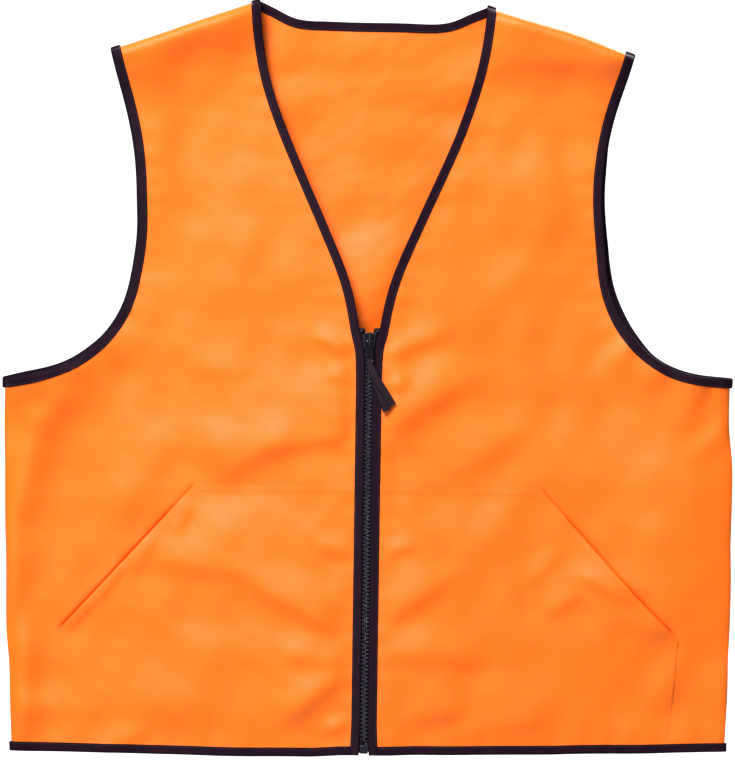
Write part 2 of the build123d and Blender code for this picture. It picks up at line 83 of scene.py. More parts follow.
# The line where a front turns to the back, from the neck point to the hem's corner
CREASE_TOP = (NECK_HALF + 1, -0.34)
CREASE_LENGTH = hypot(HEM_HALF - CREASE_TOP[0], HEM_SIDE_DROP + CREASE_TOP[1])
CREASE_X = (HEM_HALF - CREASE_TOP[0]) / CREASE_LENGTH
CREASE_Z = (-HEM_SIDE_DROP - CREASE_TOP[1]) / CREASE_LENGTH
FLAP_SLOPE = 0.09553
ZIP_LEAN = radians(1.6257)
ZIP_AT_NECK = -11.17

# ------------------------------------------------------------ how the cloth lies
CLOTH = 0.6  # thickness
CELL = 4.2  # distance between the points of its mesh
CUT = 0.6  # from a binding's fold to the cloth's edge inside it
SEAM_STAND = 0.3  # from the middle plane to a cloth that is sewn to the other
SEAM_FACE = 1.1  # where the front's flat part beside the crease lies
CREASE_SOFT = 12  # how gently it turns there
CREASE_FULL, CREASE_FULL_REACH = 1.5, 60  # its fullness beside the crease
# Above STEEP_BELOW the front edge is slanted, so its distance is less than that along X
STEEP_BELOW, SLANTED = -300, 0.93
# Folds start from the front edge's binding, but run on under it near the shoulders
FOLDS_FROM_EDGE, FOLDS_FULL = 7, 24
SHOULDER_LOW, SHOULDER_HIGH = -110, -60
# Distances from a seam over which the cloth and its folds rise
SEAM_RISE = 3
FOLD_RISE, SHOULDER_FOLD_RISE, SHOULDER_FOLDS_ABOVE = 3.5, 1.5, -90
BACK_FACE, BACK_BULGE_POWER = 1.6, 1.8
# The back comes forward where the neck opens: by how much, how high, half width and height
BOW, BOW_Z, BOW_WIDTH, BOW_HEIGHT = 13.5, -258, 62, 78
# The front cloth sinks along a hand opening: by how much, and the reach of lip and dish
MOUTH_GAP, GAP_LIP, GAP_DISH = 3.2, 1.4, 9
# The pocket is pressed down along the lower part of its outer seam
PRESSED, PRESSED_WIDTH, PRESSED_FROM, PRESSED_TO = 0.35, 3, 584, 602


# ------------------------------------------------------------ lines
def path_length(points):
    """The length along a path, at each of its points."""
    return np.r_[0, np.cumsum(np.linalg.norm(np.diff(points, axis=0), axis=1))]


def at_lengths(path, lengths):
    """Points at the given lengths along a polyline."""
    t = path_length(path)
    return np.stack([np.interp(lengths, t, path[:, i]) for i in range(path.shape[1])], 1)


def smooth(points, step=2.0):
    """Points every step or so along a natural cubic spline through the given points."""
    p = np.array(points, float)
    t = path_length(p)
    h, n = np.diff(t), len(p)
    a, r = np.eye(n), np.zeros_like(p)
    for i in range(1, n - 1):
        a[i, i - 1:i + 2] = h[i - 1], 2 * (h[i - 1] + h[i]), h[i]
        r[i] = 6 * ((p[i + 1] - p[i]) / h[i] - (p[i] - p[i - 1]) / h[i - 1])
    m = np.linalg.solve(a, r)
    s = np.linspace(0, t[-1], ceil(t[-1] / step) + 1)
    k = np.clip(np.searchsorted(t, s, "right") - 1, 0, n - 2)
    u, v, hk = ((t[k + 1] - s) / h[k])[:, None], ((s - t[k]) / h[k])[:, None], h[k][:, None]
    return u * p[k] + v * p[k + 1] + ((u**3 - u) * m[k] + (v**3 - v) * m[k + 1]) * hk**2 / 6


def even(path, step):
    """The same polyline with points at even steps."""
    path = np.asarray(path, float)
    length = path_length(path)[-1]
    return at_lengths(path, np.linspace(0, length, max(2, ceil(length / step) + 1)))


def tangents(path):
    d = np.gradient(path, axis=0)
    return d / np.linalg.norm(d, axis=1)[:, None]


def across_path(path, hand):
    """Unit directions across a path: to its left where hand is 1, else to its right."""
    t = tangents(path)
    return hand * np.stack([-t[:, 1], t[:, 0]], 1)


def step_up(value, low, high):
    """Smooth 0 to 1 as value goes from low to high."""
    t = np.clip((value - low) / (high - low), 0, 1)
    return t * t * (3 - 2 * t)


def hem_line(x):
    return -HEM_CENTRE_DROP + (HEM_CENTRE_DROP - HEM_SIDE_DROP) * (x / (HEM_HALF + 8)) ** 2


def side_line(z):
    return CHEST_HALF + (z + UNDERARM_DROP) * SIDE_TAPER


def shoulder_distance(x, z):
    return (-SHOULDER_SLOPE * (abs(x) - NECK_HALF) - z) / hypot(1, SHOULDER_SLOPE)


def seam_distance(x, z):
    return np.maximum(np.minimum(shoulder_distance(x, z), side_line(z) - abs(x)), 0)


def crease_distance(x, z):
    return (abs(x) - CREASE_TOP[0]) * CREASE_Z - (z - CREASE_TOP[1]) * CREASE_X


def line_share(x, z, a, b):
    """How far along the line from a to b each point lies: 0 at a, 1 at b."""
    t = np.subtract(b, a)
    return ((x - a[0]) * t[0] + (z - a[1]) * t[1]) / np.dot(t, t)


def line_distance(x, z, a, b):
    """Distance from points to the straight line between a and b."""
    t = np.subtract(b, a)
    s = np.clip(line_share(x, z, a, b), 0, 1)
    return np.hypot(x - a[0] - s * t[0], z - a[1] - s * t[1])


def path_distance(x, z, path, batch=4000):
    """Distance from points, taken to the +X side, to a path's points, and where along it."""
    flat = np.stack([abs(x).ravel(), z.ravel()], 1)
    at = path_length(path)
    near, along = np.empty(len(flat)), np.empty(len(flat))
    for i in range(0, len(flat), batch):
        d = np.linalg.norm(flat[i:i + batch, None] - path[None], axis=2)
        k = d.argmin(axis=1)
        near[i:i + batch], along[i:i + batch] = d[np.arange(len(k)), k], at[k]
    return near.reshape(x.shape), along.reshape(x.shape)


front_edge_line = np.vstack([
    [(101.5, 2.73)], smooth(FRONT_EDGE), [(3.3, -500), (3.3, -640), (4.4, -667)],
])
armhole_line = smooth(ARMHOLE)


def front_edge_x(z):
    return np.interp(-z, -front_edge_line[:, 1], front_edge_line[:, 0])


# ------------------------------------------------------------ folds
# Soft folds of the front: x, z, direction in degrees, half length, width above, width
# below, height, all mm
FRONT_FOLDS = [
    # wearer's right
    (-106, -401, 34, 36, 42, 14, 6.2), (-50, -387, 10, 38, 34, 9, 4.4),
    (-32, -303, -24, 19, 11, 6, 3.8), (-127, -325, 3, 34, 16, 9, 1.4),
    (-26, -330, 0, 12, 8, 6, 2.2), (-28, -484, -20, 13, 8, 6, 2.6),
    (-142, -499, -8, 46, 38, 12, 4.6), (-66, -532, -27, 48, 28, 10, 5.8),
    (-46, -580, -8, 27, 14, 9, 3.2), (-50, -616, 37, 36, 17, 10, 5.0),
    (-22, -641, 20, 14, 8, 5, 3.2), (-150, -600, 62, 44, 20, 18, 3.4),
    (-301, -412, 82, 50, 12, 20, 9.0), (-278, -364, 52, 24, 14, 16, 5.0),
    (-320, -500, 94, 48, 6, 20, 9.0), (-306, -606, 86, 54, 9, 15, 8.0),
    (-292, -334, 12, 36, 10, 26, 15.0), (-247, -313, 38, 30, 10, 24, 5.0),
    (-180, -24.5, 18.8, 80, 7, 26, 12.0), (-175, -28, 18.8, 80, 12, 62, 8.0),
    (-205, -60, 12, 30, 16, 22, 2.5), (-196, -150, 78, 60, 26, 26, 2.6),
    (-120, -215, 70, 80, 34, 30, 3.0), (-285, -626, 6, 26, 16, 12, 3.4),
    (-250, -596, 84, 40, 14, 14, 2.4), (-92, -250, 20, 50, 30, 22, 2.0),
    (-110, -460, 40, 30, 20, 14, 2.0), (-205, -425, 60, 50, 26, 22, 2.6),
    (-215, -655, 30, 24, 12, 8, 2.6),
    # short ones that run in from the hand opening
    (-163, -458, 62, 15, 9, 5, 2.2), (-198, -491, 60, 18, 9, 5, 2.6),
    (-229, -518, 58, 18, 9, 5, 2.6), (-255, -545, 50, 15, 8, 5, 2.2),
    # wearer's left
    (55, -349, 32, 46, 26, 15, 6.8), (40, -301, 20, 30, 12, 8, 3.4),
    (22, -338, 20, 14, 9, 6, 2.8), (28, -484, 20, 14, 9, 6, 2.6),
    (40, -529, 36, 44, 20, 11, 4.9), (60, -576, -4, 52, 18, 11, 3.4),
    (64, -630, 12, 26, 14, 9, 3.0), (96, -400, 34, 40, 20, 14, 3.6),
    (110, -470, 60, 50, 22, 20, 2.4), (180, -21.5, -14, 100, 7, 48, 13.0),
    (180, -21.5, -14, 100, 7, 18, 5.5), (168, -42.5, -4, 66, 60, 17, 8.2),
    (306, -337, -6, 30, 10, 26, 4.5), (276, -328, -22, 28, 9, 36, 8.0),
    (243, -312, -42, 24, 9, 26, 7.0), (274, -462, 90, 100, 60, 30, 9.0),
    (302, -390, 30, 24, 9, 9, 3.0), (268, -598, 70, 30, 14, 11, 3.0),
    (150, -200, 80, 80, 30, 30, 3.0), (205, -120, -70, 50, 18, 20, 2.6),
    (226, -62, -72, 30, 30, 24, 4.5), (120, -640, 10, 40, 14, 10, 2.4),
    (200, -430, -30, 60, 28, 22, 2.6), (96, -262, 35, 46, 26, 20, 2.4),
    (213, -515, -27, 26, 12, 6, 3.2), (176, -530, 32, 18, 10, 6, 2.0),
    (243, -549, -25, 24, 10, 9, 2.2), (158, -498, 50, 16, 9, 7, 1.8),
]
BACK_FOLDS = [
    (-150, -28, 14, 60, 10, 34, 3.5), (160, -30, -14, 60, 10, 34, 3.5),
    (-60, -150, 60, 90, 34, 30, 3.0), (80, -190, -62, 100, 34, 30, 3.0),
    (-190, -380, 38, 110, 34, 24, 4.0), (180, -400, -36, 110, 30, 24, 4.0),
    (0, -420, 84, 130, 34, 34, 3.5), (-110, -560, 75, 80, 24, 24, 3.0),
    (120, -580, -78, 80, 24, 22, 3.0), (-245, -330, 50, 50, 16, 16, 2.4),
    (240, -330, -50, 50, 16, 16, 2.4), (-40, -60, 4, 60, 14, 14, 1.6),
    (50, -95, -6, 70, 16, 14, 1.6), (-30, -215, 40, 40, 16, 14, 1.2),
]


def folds(x, z, ridges):
    """Height of the soft folds: each a ridge with its own slopes above and below."""
    height = np.zeros(np.shape(x))
    for cx, cz, direction, length, above, below, rise in ridges:
        c, s = cos(radians(direction)), sin(radians(direction))
        along, across = (x - cx) * c + (z - cz) * s, (z - cz) * c - (x - cx) * s
        width = np.where(across > 0, above, below)
        height += rise * np.exp(-(across / width) ** 2 - (along / length) ** 4)
    return height


def ripples(seed, wavelength, count=14, flat=1.0):
    """A smooth random field of about unit height; flat above 1 stretches it along X."""
    rng = np.random.default_rng(seed)
    direction, phase = rng.uniform(0, pi, count), rng.uniform(0, 2 * pi, count)
    k = 2 * pi / wavelength * rng.uniform(0.6, 1.6, count)
    kx, kz = k * np.cos(direction) / flat, k * np.sin(direction)

    def field(x, z):
        total = sum(np.cos(a * x + b * z + p) for a, b, p in zip(kx, kz, phase))
        return total / (count / 2) ** 0.5

    return field


broad, medium, fine = ripples(3, 150), ripples(5, 60), ripples(8, 24)
back_broad, back_medium, back_fine = ripples(13, 150), ripples(15, 46, 14, 1.6), ripples(18, 20)


def puckers(distance, along, seed, height, reach=11.0):
    """Small gathers in the cloth beside a bound edge, fading away from it."""
    rng = np.random.default_rng(seed)
    total = np.zeros(np.shape(distance))
    for length in (17.0, 26.0, 41.0):
        total += np.cos(2 * pi * along / length + rng.uniform(0, 2 * pi)
                        + 1.7 * np.sin(2 * pi * along / 173 + rng.uniform(0, 2 * pi)))
    fade = np.exp(-np.maximum(distance - BINDING_WIDTH, 0) / reach)
    return height * fade * step_up(distance, 5, 9) * total / 1.7


# ------------------------------------------------------------ surfaces of the cloths
def front_surface(x, z, seam=SEAM_STAND):
    """Y of the middle of the front cloth; seam is how far it stands forward at a seam."""
    x, z = np.asarray(x, float), np.asarray(z, float)
    inward = crease_distance(x, z)
    depth = SEAM_FACE + FLAP_SLOPE * CREASE_SOFT * np.logaddexp(0, inward / CREASE_SOFT)
    depth += CREASE_FULL * np.exp(-np.maximum(inward, 0) / CREASE_FULL_REACH)
    edge = (abs(x) - front_edge_x(z)) * np.where(z > STEEP_BELOW, SLANTED, 1.0)
    free = np.maximum(step_up(edge, FOLDS_FROM_EDGE, FOLDS_FULL),
                      step_up(z, SHOULDER_LOW, SHOULDER_HIGH))
    armhole, along = path_distance(x, z, armhole_line)
    side = np.where(x > 0, 1, 2)  # so that the gathers differ from left to right
    drape = folds(x, z, FRONT_FOLDS) + 0.9 * broad(x, z) + 0.6 * medium(x, z)
    drape = free * (drape + 0.1 * fine(x, z))
    drape += puckers(edge, z + 40 * side, 21, 0.5) * step_up(-z, 0, 40)
    drape += puckers(z - hem_line(x), x, 22, 0.45, 14) * free
    drape += puckers(armhole, along + 31 * side, 23, 0.5)
    from_seam = seam_distance(x, z)
    rise = np.where(z > SHOULDER_FOLDS_ABOVE, SHOULDER_FOLD_RISE, FOLD_RISE)
    depth = (depth - seam) * (1 - np.exp(-from_seam / SEAM_RISE))
    return -(seam + depth + drape * (1 - np.exp(-from_seam / rise)))


def back_surface(x, z, seam=SEAM_STAND):
    """Y of the middle of the back cloth; seam is how far it stands back at a seam."""
    x, z = np.asarray(x, float), np.asarray(z, float)
    across = np.clip(x / (CHEST_HALF + 0.5), -1, 1)
    down = np.clip(-z / (HEM_CENTRE_DROP + 3), 0, 1)
    depth = SEAM_FACE + BACK_FACE + BACK_BULGE * (1 - across**2) * down**BACK_BULGE_POWER
    armhole, along = path_distance(x, z, armhole_line)
    drape = folds(x, z, BACK_FOLDS) + 0.9 * back_broad(x, z) + 0.5 * back_medium(x, z)
    drape = (drape + 0.12 * back_fine(x, z)) * step_up(armhole, 0, 30)
    drape = drape * step_up(z - hem_line(x), -6, 30)
    drape += puckers(z - hem_line(x), x + 11, 24, 0.6, 14)
    drape += puckers(armhole, along + 17, 25, 0.5)
    drape -= BOW * np.exp(-(x / BOW_WIDTH) ** 2 - ((z - BOW_Z) / BOW_HEIGHT) ** 2)
    rise = 1 - np.exp(-seam_distance(x, z) / SEAM_RISE)
    return seam + (depth + drape - seam) * rise


def front_under_pocket(x, z):
    """The front cloth, which sinks along each hand opening."""
    off, share = line_distance(abs(x), z, *MOUTH), line_share(abs(x), z, *MOUTH)
    ends = step_up(share, 0.0, 0.05) * (0.4 + 0.6 * step_up(share, 0.05, 0.4))
    ends = ends * step_up(1 - share, 0.0, 0.07)
    sunk = 0.75 * np.exp(-off / GAP_LIP) + 0.3 * np.exp(-off / GAP_DISH)
    return front_surface(x, z) + MOUTH_GAP * ends * sunk


def pocket_surface(x, z):
    """The pocket's cloth, a little full, with its hems doubled and its edges sewn down."""
    ax = abs(x)
    top, mouth, outer = (line_distance(ax, z, *line) for line in (TOP, MOUTH, OUTER))
    above_hem = z - hem_line(x)
    sewn = np.minimum(np.minimum(top, outer), np.minimum(ax - 11, above_hem - 8))
    lift = POCKET_LIFT * (1 - np.exp(-(np.maximum(sewn, 0) / 32) ** 2))
    clear = step_up(np.minimum(ax - 11.6, above_hem - 8.4), 0, 6)
    hem = 1 - step_up(np.minimum(top, mouth), POCKET_HEM - 0.8, POCKET_HEM + 1.2)
    double = 0.25 * hem * clear
    press = PRESSED * np.exp(-(outer / PRESSED_WIDTH) ** 2)
    press = press * step_up(-z, PRESSED_FROM, PRESSED_TO)
    return front_surface(x, z) - 0.4 - 0.3 * clear - lift - double + press


# ------------------------------------------------------------ how the real vest hangs askew
# Where each place of the outline goes: x, z, then its move along x and z, all mm
ASKEW = [
    (-222, -86, -1.8, 0), (-208, -150, -1.6, 0), (-211, -232, 1.0, 0), (-228, -282, 3.2, 0),
    (-250, -308, 3.5, 0.5), (-322, -338, -1.5, 0.3), (-322, -360, -3.5, 0),
    (-321, -440, -2.5, 0), (-320, -530, -1.5, 0), (-318, -620, 1.8, -1), (-317, -664, 4.2, -4.8),
    (-250, -664, 0, -3.2), (-180, -665, 0, -2.9), (-110, -666, 0, -3.3), (-60, -667, 0, -2.0),
    (-60, -560, 0, 0), (-120, -300, 0, 0), (-232, -42, 0.3, -0.9), (-150, -200, 0, 0),
    (60, -667, 0, 0.9), (130, -666, 0, 1.6), (220, -665, 0, 2.6), (300, -664, 2, 3.0),
    (322, -338, 0.0, 11.0), (296, -333, 0, 5.0), (266, -320, 0, 0.8), (321, -440, 5.0, 0),
    (319, -530, 6.2, 0), (318, -620, 5.8, 0.5), (317, -664, 5.0, 5.0), (60, -560, 0, 0),
    (228, -60, -1.0, -0.5), (215, -100, -1.8, 0), (208, -140, -1.6, 0), (150, -200, 0, 0),
    (228, -282, -2.2, 0), (250, -306, -1.5, 0), (105, 0, -1.0, -3.8), (97, -50, -1.8, -1.5),
    (140, -12, 0, -2.0), (174, -26, 0, 1.5), (-105, 0, 0.3, 0),
]
# The back's edges, which show a little beyond the front's
BACK_ASKEW = [
    (-304, -335, 0, 4.0), (-288, -331, 0, 1.0), (-320, -337, 0, 0), (-262, -318, 0, 1.0),
    (-230, -285, 0, 0), (206, -160, 1.4, 0), (208, -190, 1.8, 0), (210, -215, 2.2, 0),
    (216, -245, 3.0, 0.4), (224, -270, 4.2, 1.0), (238, -294, 3.4, 1.2), (254, -312, 0, 0),
    (274, -324, 0, 0.4), (300, -333, 0, 0.3), (322, -338, 0, 0), (230, -60, 0, 0),
    (-60, -16, 0, 1.6), (-30, -17, 0, 1.8), (0, -18, 0, 1.8), (30, -17, 0, 1.8),
    (60, -16, 0, 1.6), (-103, -1, 0, 4.2), (-92, -5, 0, 2.6), (-80, -9, 0, -1.2),
    (-70, -13, 0, -0.8), (103, -1, 0, 3.8), (96, -3, 0, 3.6), (86, -7, 0, 1.6),
    (76, -11, 0, 0.4),
]
ASKEW_REACH, BACK_REACH = 24.0, 12.0
UNMOVED_SHARE = 0.06  # the weight of no move, which wins far from every place


def moved(x, z, places, reach):
    """Moves along x and z, blended from the places near each point."""
    total, dx, dz = np.full(x.shape, UNMOVED_SHARE), 0.0, 0.0
    for px, pz, ax, az in places:
        w = np.exp(-((x - px) ** 2 + (z - pz) ** 2) / (2 * reach**2))
        total, dx, dz = total + w, dx + w * ax, dz + w * az
    return dx / total, dz / total


def askew(verts, front):
    """Points of soft pieces moved to where the real vest's lie; the zip stays in place."""
    verts = np.array(verts, float)
    x, y, z = verts.T
    dx, dz = moved(x, z, ASKEW, ASKEW_REACH)
    bx, bz = moved(x, z, BACK_ASKEW, BACK_REACH)
    back = 0.0 if front else step_up(y, -0.8, 0.8)
    # The neck's moves along z stop where the shoulder seams begin
    bz = bz * (1 - step_up(abs(x), 104, 110) * step_up(z, -24, -14))
    beside_zip = (1 - step_up(abs(x), 14, 50)) * step_up(-z, 220, 290)
    verts[:, 0] += (dx + back * bx) * (1 - beside_zip)
    verts[:, 2] += (dz + back * bz) * (1 - beside_zip)
    return verts


# ------------------------------------------------------------ mesh makers
def link_new(name, data):
    obj = bpy.data.objects.new(name, data)
    bpy.context.scene.collection.objects.link(obj)
    return obj


def new_object(name, verts, faces, material, uvs=None, rigid=False, sharp=40):
    """A smooth-shaded mesh object from points in mm. uvs holds one pair for each point."""
    front = name.startswith(("front_edge", "front_hem", "front_cloth", "pocket"))
    mesh = bpy.data.meshes.new(name)
    placed = np.asarray(verts, float) if rigid else askew(verts, front)
    mesh.from_pydata((placed * MM).tolist(), [], faces)
    mesh.materials.append(material)
    if uvs is not None:
        layer = mesh.uv_layers.new(name="UVMap")
        loops = np.empty(len(mesh.loops), int)
        mesh.loops.foreach_get("vertex_index", loops)
        layer.data.foreach_set("uv", np.asarray(uvs, float)[loops].astype(np.float32).ravel())
    shape = bmesh.new()
    shape.from_mesh(mesh)
    if shape.calc_volume(signed=True) < 0:
        mesh.flip_normals()
    shape.free()
    mesh.shade_smooth()
    mesh.set_sharp_from_angle(angle=radians(sharp))
    mesh.validate()
    return link_new(name, mesh)


def inside(points, outline):
    """Which points lie in a closed outline."""
    x, z = points[:, 0], points[:, 1]
    result = np.zeros(len(points), bool)
    for (x0, z0), (x1, z1) in zip(outline, np.roll(outline, -1, axis=0)):
        if z0 != z1:
            result ^= ((z0 > z) != (z1 > z)) & (x < (x1 - x0) * (z - z0) / (z1 - z0) + x0)
    return result


def drawn_in(outline, distance):
    """Points of a closed outline moved to its inside; the outline runs anticlockwise."""
    t = np.roll(outline, -1, axis=0) - np.roll(outline, 1, axis=0)
    t = t / np.linalg.norm(t, axis=1)[:, None]
    return outline + distance * np.stack([-t[:, 1], t[:, 0]], 1)


RIM_LINES = (0.6, 1.6, 3.2)  # how far in from its outline a cloth has more lines of points


def cloth_mesh(name, outline, surface, material, extra=()):
    """A cloth with two faces and a rim over an outline in the XZ plane."""
    outline = np.asarray(outline, float)
    following = np.roll(outline, -1, axis=0)
    if np.sum(outline[:, 0] * following[:, 1] - following[:, 0] * outline[:, 1]) < 0:
        outline = outline[::-1]
    low, high = outline.min(0), outline.max(0)
    rows = []
    for i, z in enumerate(np.arange(low[1], high[1], CELL * 0.866)):
        xs = np.arange(low[0] + (i % 2) * CELL / 2, high[0], CELL)
        rows.append(np.stack([xs, np.full(len(xs), z)], 1))
    grid = np.vstack(rows)
    kept = np.vstack([drawn_in(outline, d) for d in RIM_LINES] + list(extra))
    kept = kept[inside(kept, outline)]
    grid = grid[inside(grid, outline)]
    # The grid's points stay clear of the lines'
    tree = KDTree(len(outline) + len(kept))
    for i, (x, z) in enumerate(np.vstack([outline, kept])):
        tree.insert((x, z, 0), i)
    tree.balance()
    grid = np.array([p for p in grid if tree.find((p[0], p[1], 0))[2] > CELL * 0.6])
    points = np.vstack([outline, kept, grid])
    edges = [(i, (i + 1) % len(outline)) for i in range(len(outline))]
    flat, _, triangles, _, _, _ = delaunay_2d_cdt(
        [Vector(p) for p in points.tolist()], edges, [], 1, 1e-4)
    flat = np.array([tuple(p) for p in flat])
    x, z = flat[:, 0], flat[:, 1]
    y, n = surface(x, z), len(flat)
    verts = np.vstack([np.stack([x, y + side * CLOTH / 2, z], 1) for side in (-1, 1)])
    # Faces seen from -Y turn anticlockwise in XZ
    outer = []
    for face in map(tuple, triangles):
        a, b, c = (flat[i] for i in face[:3])
        area = (b[0] - a[0]) * (c[1] - a[1]) - (b[1] - a[1]) * (c[0] - a[0])
        outer.append(face if area > 0 else face[::-1])
    inner = [tuple(i + n for i in reversed(face)) for face in outer]
    sides = dict.fromkeys(side for face in outer for side in zip(face, face[1:] + face[:1]))
    rim = [(a, b, b + n, a + n)[::-1] for a, b in sides if (b, a) not in sides]
    uvs = np.vstack([flat] * 2) * MM
    return new_object(name, verts, outer + inner + rim, material, uvs, sharp=78)


def closed_strip(name, rings, material, across, along, loop=False, rigid=False):
    """A tube of profile rings, shape (rings, points, 3); its ends are capped."""
    count, points = rings.shape[:2]
    faces = []
    for i in range(count if loop else count - 1):
        a, b = i * points, ((i + 1) % count) * points
        for j in range(points):
            k = (j + 1) % points
            faces.append((a + j, a + k, b + k, b + j))
    if not loop:
        faces.append(tuple(range(points))[::-1])
        faces.append(tuple((count - 1) * points + j for j in range(points)))
    uvs = np.stack([np.tile(across, count), np.repeat(along, points)], 1) * MM
    return new_object(name, rings.reshape(-1, 3), faces, material, uvs, rigid)


# ------------------------------------------------------------ materials
def node_material(name):
    """A material, a function that adds a node to it, and one that sets its shader."""
    material = bpy.data.materials.new(name)
    material.use_nodes = True
    nodes, links = material.node_tree.nodes, material.node_tree.links
    nodes.clear()
    shader, output = nodes.new("ShaderNodeBsdfPrincipled"), nodes.new("ShaderNodeOutputMaterial")
    links.new(shader.outputs[0], output.inputs[0])

    def feed(node, inputs):
        for key, value in inputs.items():
            if isinstance(value, bpy.types.NodeSocket):
                links.new(value, node.inputs[key])
            else:
                node.inputs[key].default_value = value

    def add(kind, inputs=None, **settings):
        node = nodes.new(kind)
        for key, value in settings.items():
            setattr(node, key, value)
        feed(node, inputs or {})
        return node

    def shade(inputs):
        feed(shader, inputs)

    return material, add, shade


def maths(add, operation, a, b=0.0):
    return add("ShaderNodeMath", {0: a, 1: b}, operation=operation).outputs[0]


def times(add, a, b):
    return maths(add, "MULTIPLY", a, b)


def plus(add, a, b):
    return maths(add, "ADD", a, b)


def noise(add, place, scale, detail, **more):
    inputs = {"Vector": place, "Scale": scale, "Detail": detail, **more}
    return add("ShaderNodeTexNoise", inputs).outputs[0]


def remap(add, value, low, high, to_low=0.0, to_high=1.0, **settings):
    inputs = {0: value, 1: low, 2: high, 3: to_low, 4: to_high}
    return add("ShaderNodeMapRange", inputs, **settings).outputs[0]


def mix_colour(add, factor, a, b):
    return add("ShaderNodeMix", {0: factor, 6: a, 7: b}, data_type="RGBA").outputs[2]


def bump(add, height, strength, distance, **more):
    inputs = {"Strength": strength, "Distance": distance, "Height": height, **more}
    return add("ShaderNodeBump", inputs).outputs[0]


def uv_axes(add):
    uv = add("ShaderNodeUVMap", uv_map="UVMap").outputs[0]
    split = add("ShaderNodeSeparateXYZ", {0: uv})
    return uv, split.outputs[0], split.outputs[1]


WEAVE_PITCH = 0.00055


def weave(add, u, v):
    """Height of a plain weave: warp threads over weft threads in a chequer."""
    warp, weft = (maths(add, "SINE", times(add, w, 2 * pi / WEAVE_PITCH)) for w in (u, v))
    ridges = plus(add, maths(add, "ABSOLUTE", warp), maths(add, "ABSOLUTE", weft))
    return plus(add, times(add, warp, weft), times(add, ridges, 0.35))


def cloth_material(name, tone, deep):
    """Plain-woven cloth with uneven threads and the faintest of creases."""
    material, add, shade = node_material(name)
    uv, u, v = uv_axes(add)

    def slubs(*scale):
        place = add("ShaderNodeMapping", {0: uv, 3: scale}).outputs[0]
        return times(add, noise(add, place, 1.0, 2.0), 0.5)

    threads = plus(add, slubs(260.0, 2600.0, 1.0), slubs(2600.0, 260.0, 1.0))
    height = weave(add, u, v)
    cloud = noise(add, uv, 14.0, 3.0)
    tint = plus(add, times(add, cloud, 0.55), times(add, threads, 0.45))
    # The weave's raised threads are painted a little lighter: a painted highlight on their
    # crests.
    tint = plus(add, tint, times(add, height, 0.12))
    relief = plus(add, height, times(add, threads, 1.2))
    woven = bump(add, relief, 0.35, 0.00008)
    creases = noise(add, uv, 55.0, 3.0, Roughness=0.5)
    shade({
        "Base Color": mix_colour(add, remap(add, tint, 0.3, 0.75), deep, tone),
        "Roughness": remap(add, threads, 0.3, 0.7, 0.46, 0.58),
        "Normal": bump(add, creases, 0.5, 0.0006, Normal=woven),
        "Specular IOR Level": 0.34,
    })
    return material


def ribbed_material(name, middle, edge_shade, width, rib=0.0007, edge_shade_strength=1.0, sheen=0.05):
    """Woven tape: ribs across it, and darker, bluer bands along both long edges, painted shade
    where the tape rounds off; UV x runs across and y along.
    """
    material, add, shade = node_material(name)
    uv, u, v = uv_axes(add)
    ribs = maths(add, "SINE", times(add, v, 2 * pi / rib))
    cords = maths(add, "SINE", times(add, u, 2 * pi / (rib * 1.1)))
    grain, patch = noise(add, uv, 900.0, 2.0), noise(add, uv, 45.0, 2.0)
    # Painted shade: darker towards both long edges, where a binding rounds over its fold and
    # dips to its stitched edge.
    off = maths(add, "ABSOLUTE", u)
    edge = remap(add, off, width / 2 * 0.62, width / 2 * 0.95, interpolation_type="SMOOTHSTEP")
    mottled = plus(add, times(add, patch, 0.9), times(add, grain, 0.5))
    dark = tuple(c * 0.62 for c in middle[:3]) + (1.0,)
    body = mix_colour(add, remap(add, mottled, 0.35, 1.0), dark, middle)
    relief = plus(add, ribs, times(add, cords, 0.35))
    relief = plus(add, relief, times(add, grain, 0.8))
    shade({
        "Base Color": mix_colour(add, times(add, edge, edge_shade_strength), body, edge_shade),
        "Roughness": remap(add, grain, 0.3, 0.7, 0.5, 0.7),
        "Normal": bump(add, relief, 0.6, 0.00012),
        "Specular IOR Level": 0.06,
        "Sheen Weight": sheen,
        "Sheen Roughness": 0.45,
        "Sheen Tint": (0.7, 0.6, 0.9, 1.0),
    })
    return material


def hard_material(name, colour, edge_wear_and_highlight, roughness, specular, coat=0.0, edge_wear_and_highlight_range=(0.53, 0.62)):
    """Moulded plastic or enamelled metal, with fine scuffs, and sharp edges painted paler:
    partly wear, partly a painted highlight where edges catch the light.
    """
    material, add, shade = node_material(name)
    place = add("ShaderNodeTexCoord").outputs["Object"]
    scuff = noise(add, place, 700.0, 4.0, Roughness=0.6)
    blot = noise(add, place, 160.0, 2.0)
    point = add("ShaderNodeNewGeometry").outputs["Pointiness"]
    # Sharp edges, found by pointiness, get a paler colour: a painted highlight as well as wear.
    edge_wear_and_highlight_mask = plus(add, point, times(add, maths(add, "SUBTRACT", scuff, 0.5), 0.08))
    pale = tuple(min(1.0, c * 1.7) for c in colour[:3]) + (1.0,)
    base = mix_colour(add, blot, colour, pale)
    shade({
        "Base Color": mix_colour(add, remap(add, edge_wear_and_highlight_mask, *edge_wear_and_highlight_range), base, edge_wear_and_highlight),
        "Roughness": remap(add, scuff, 0.3, 0.75, roughness, roughness + 0.2),
        "Normal": bump(add, scuff, 0.25, 0.00005),
        "Specular IOR Level": specular,
        "Coat Weight": coat,
    })
    return material


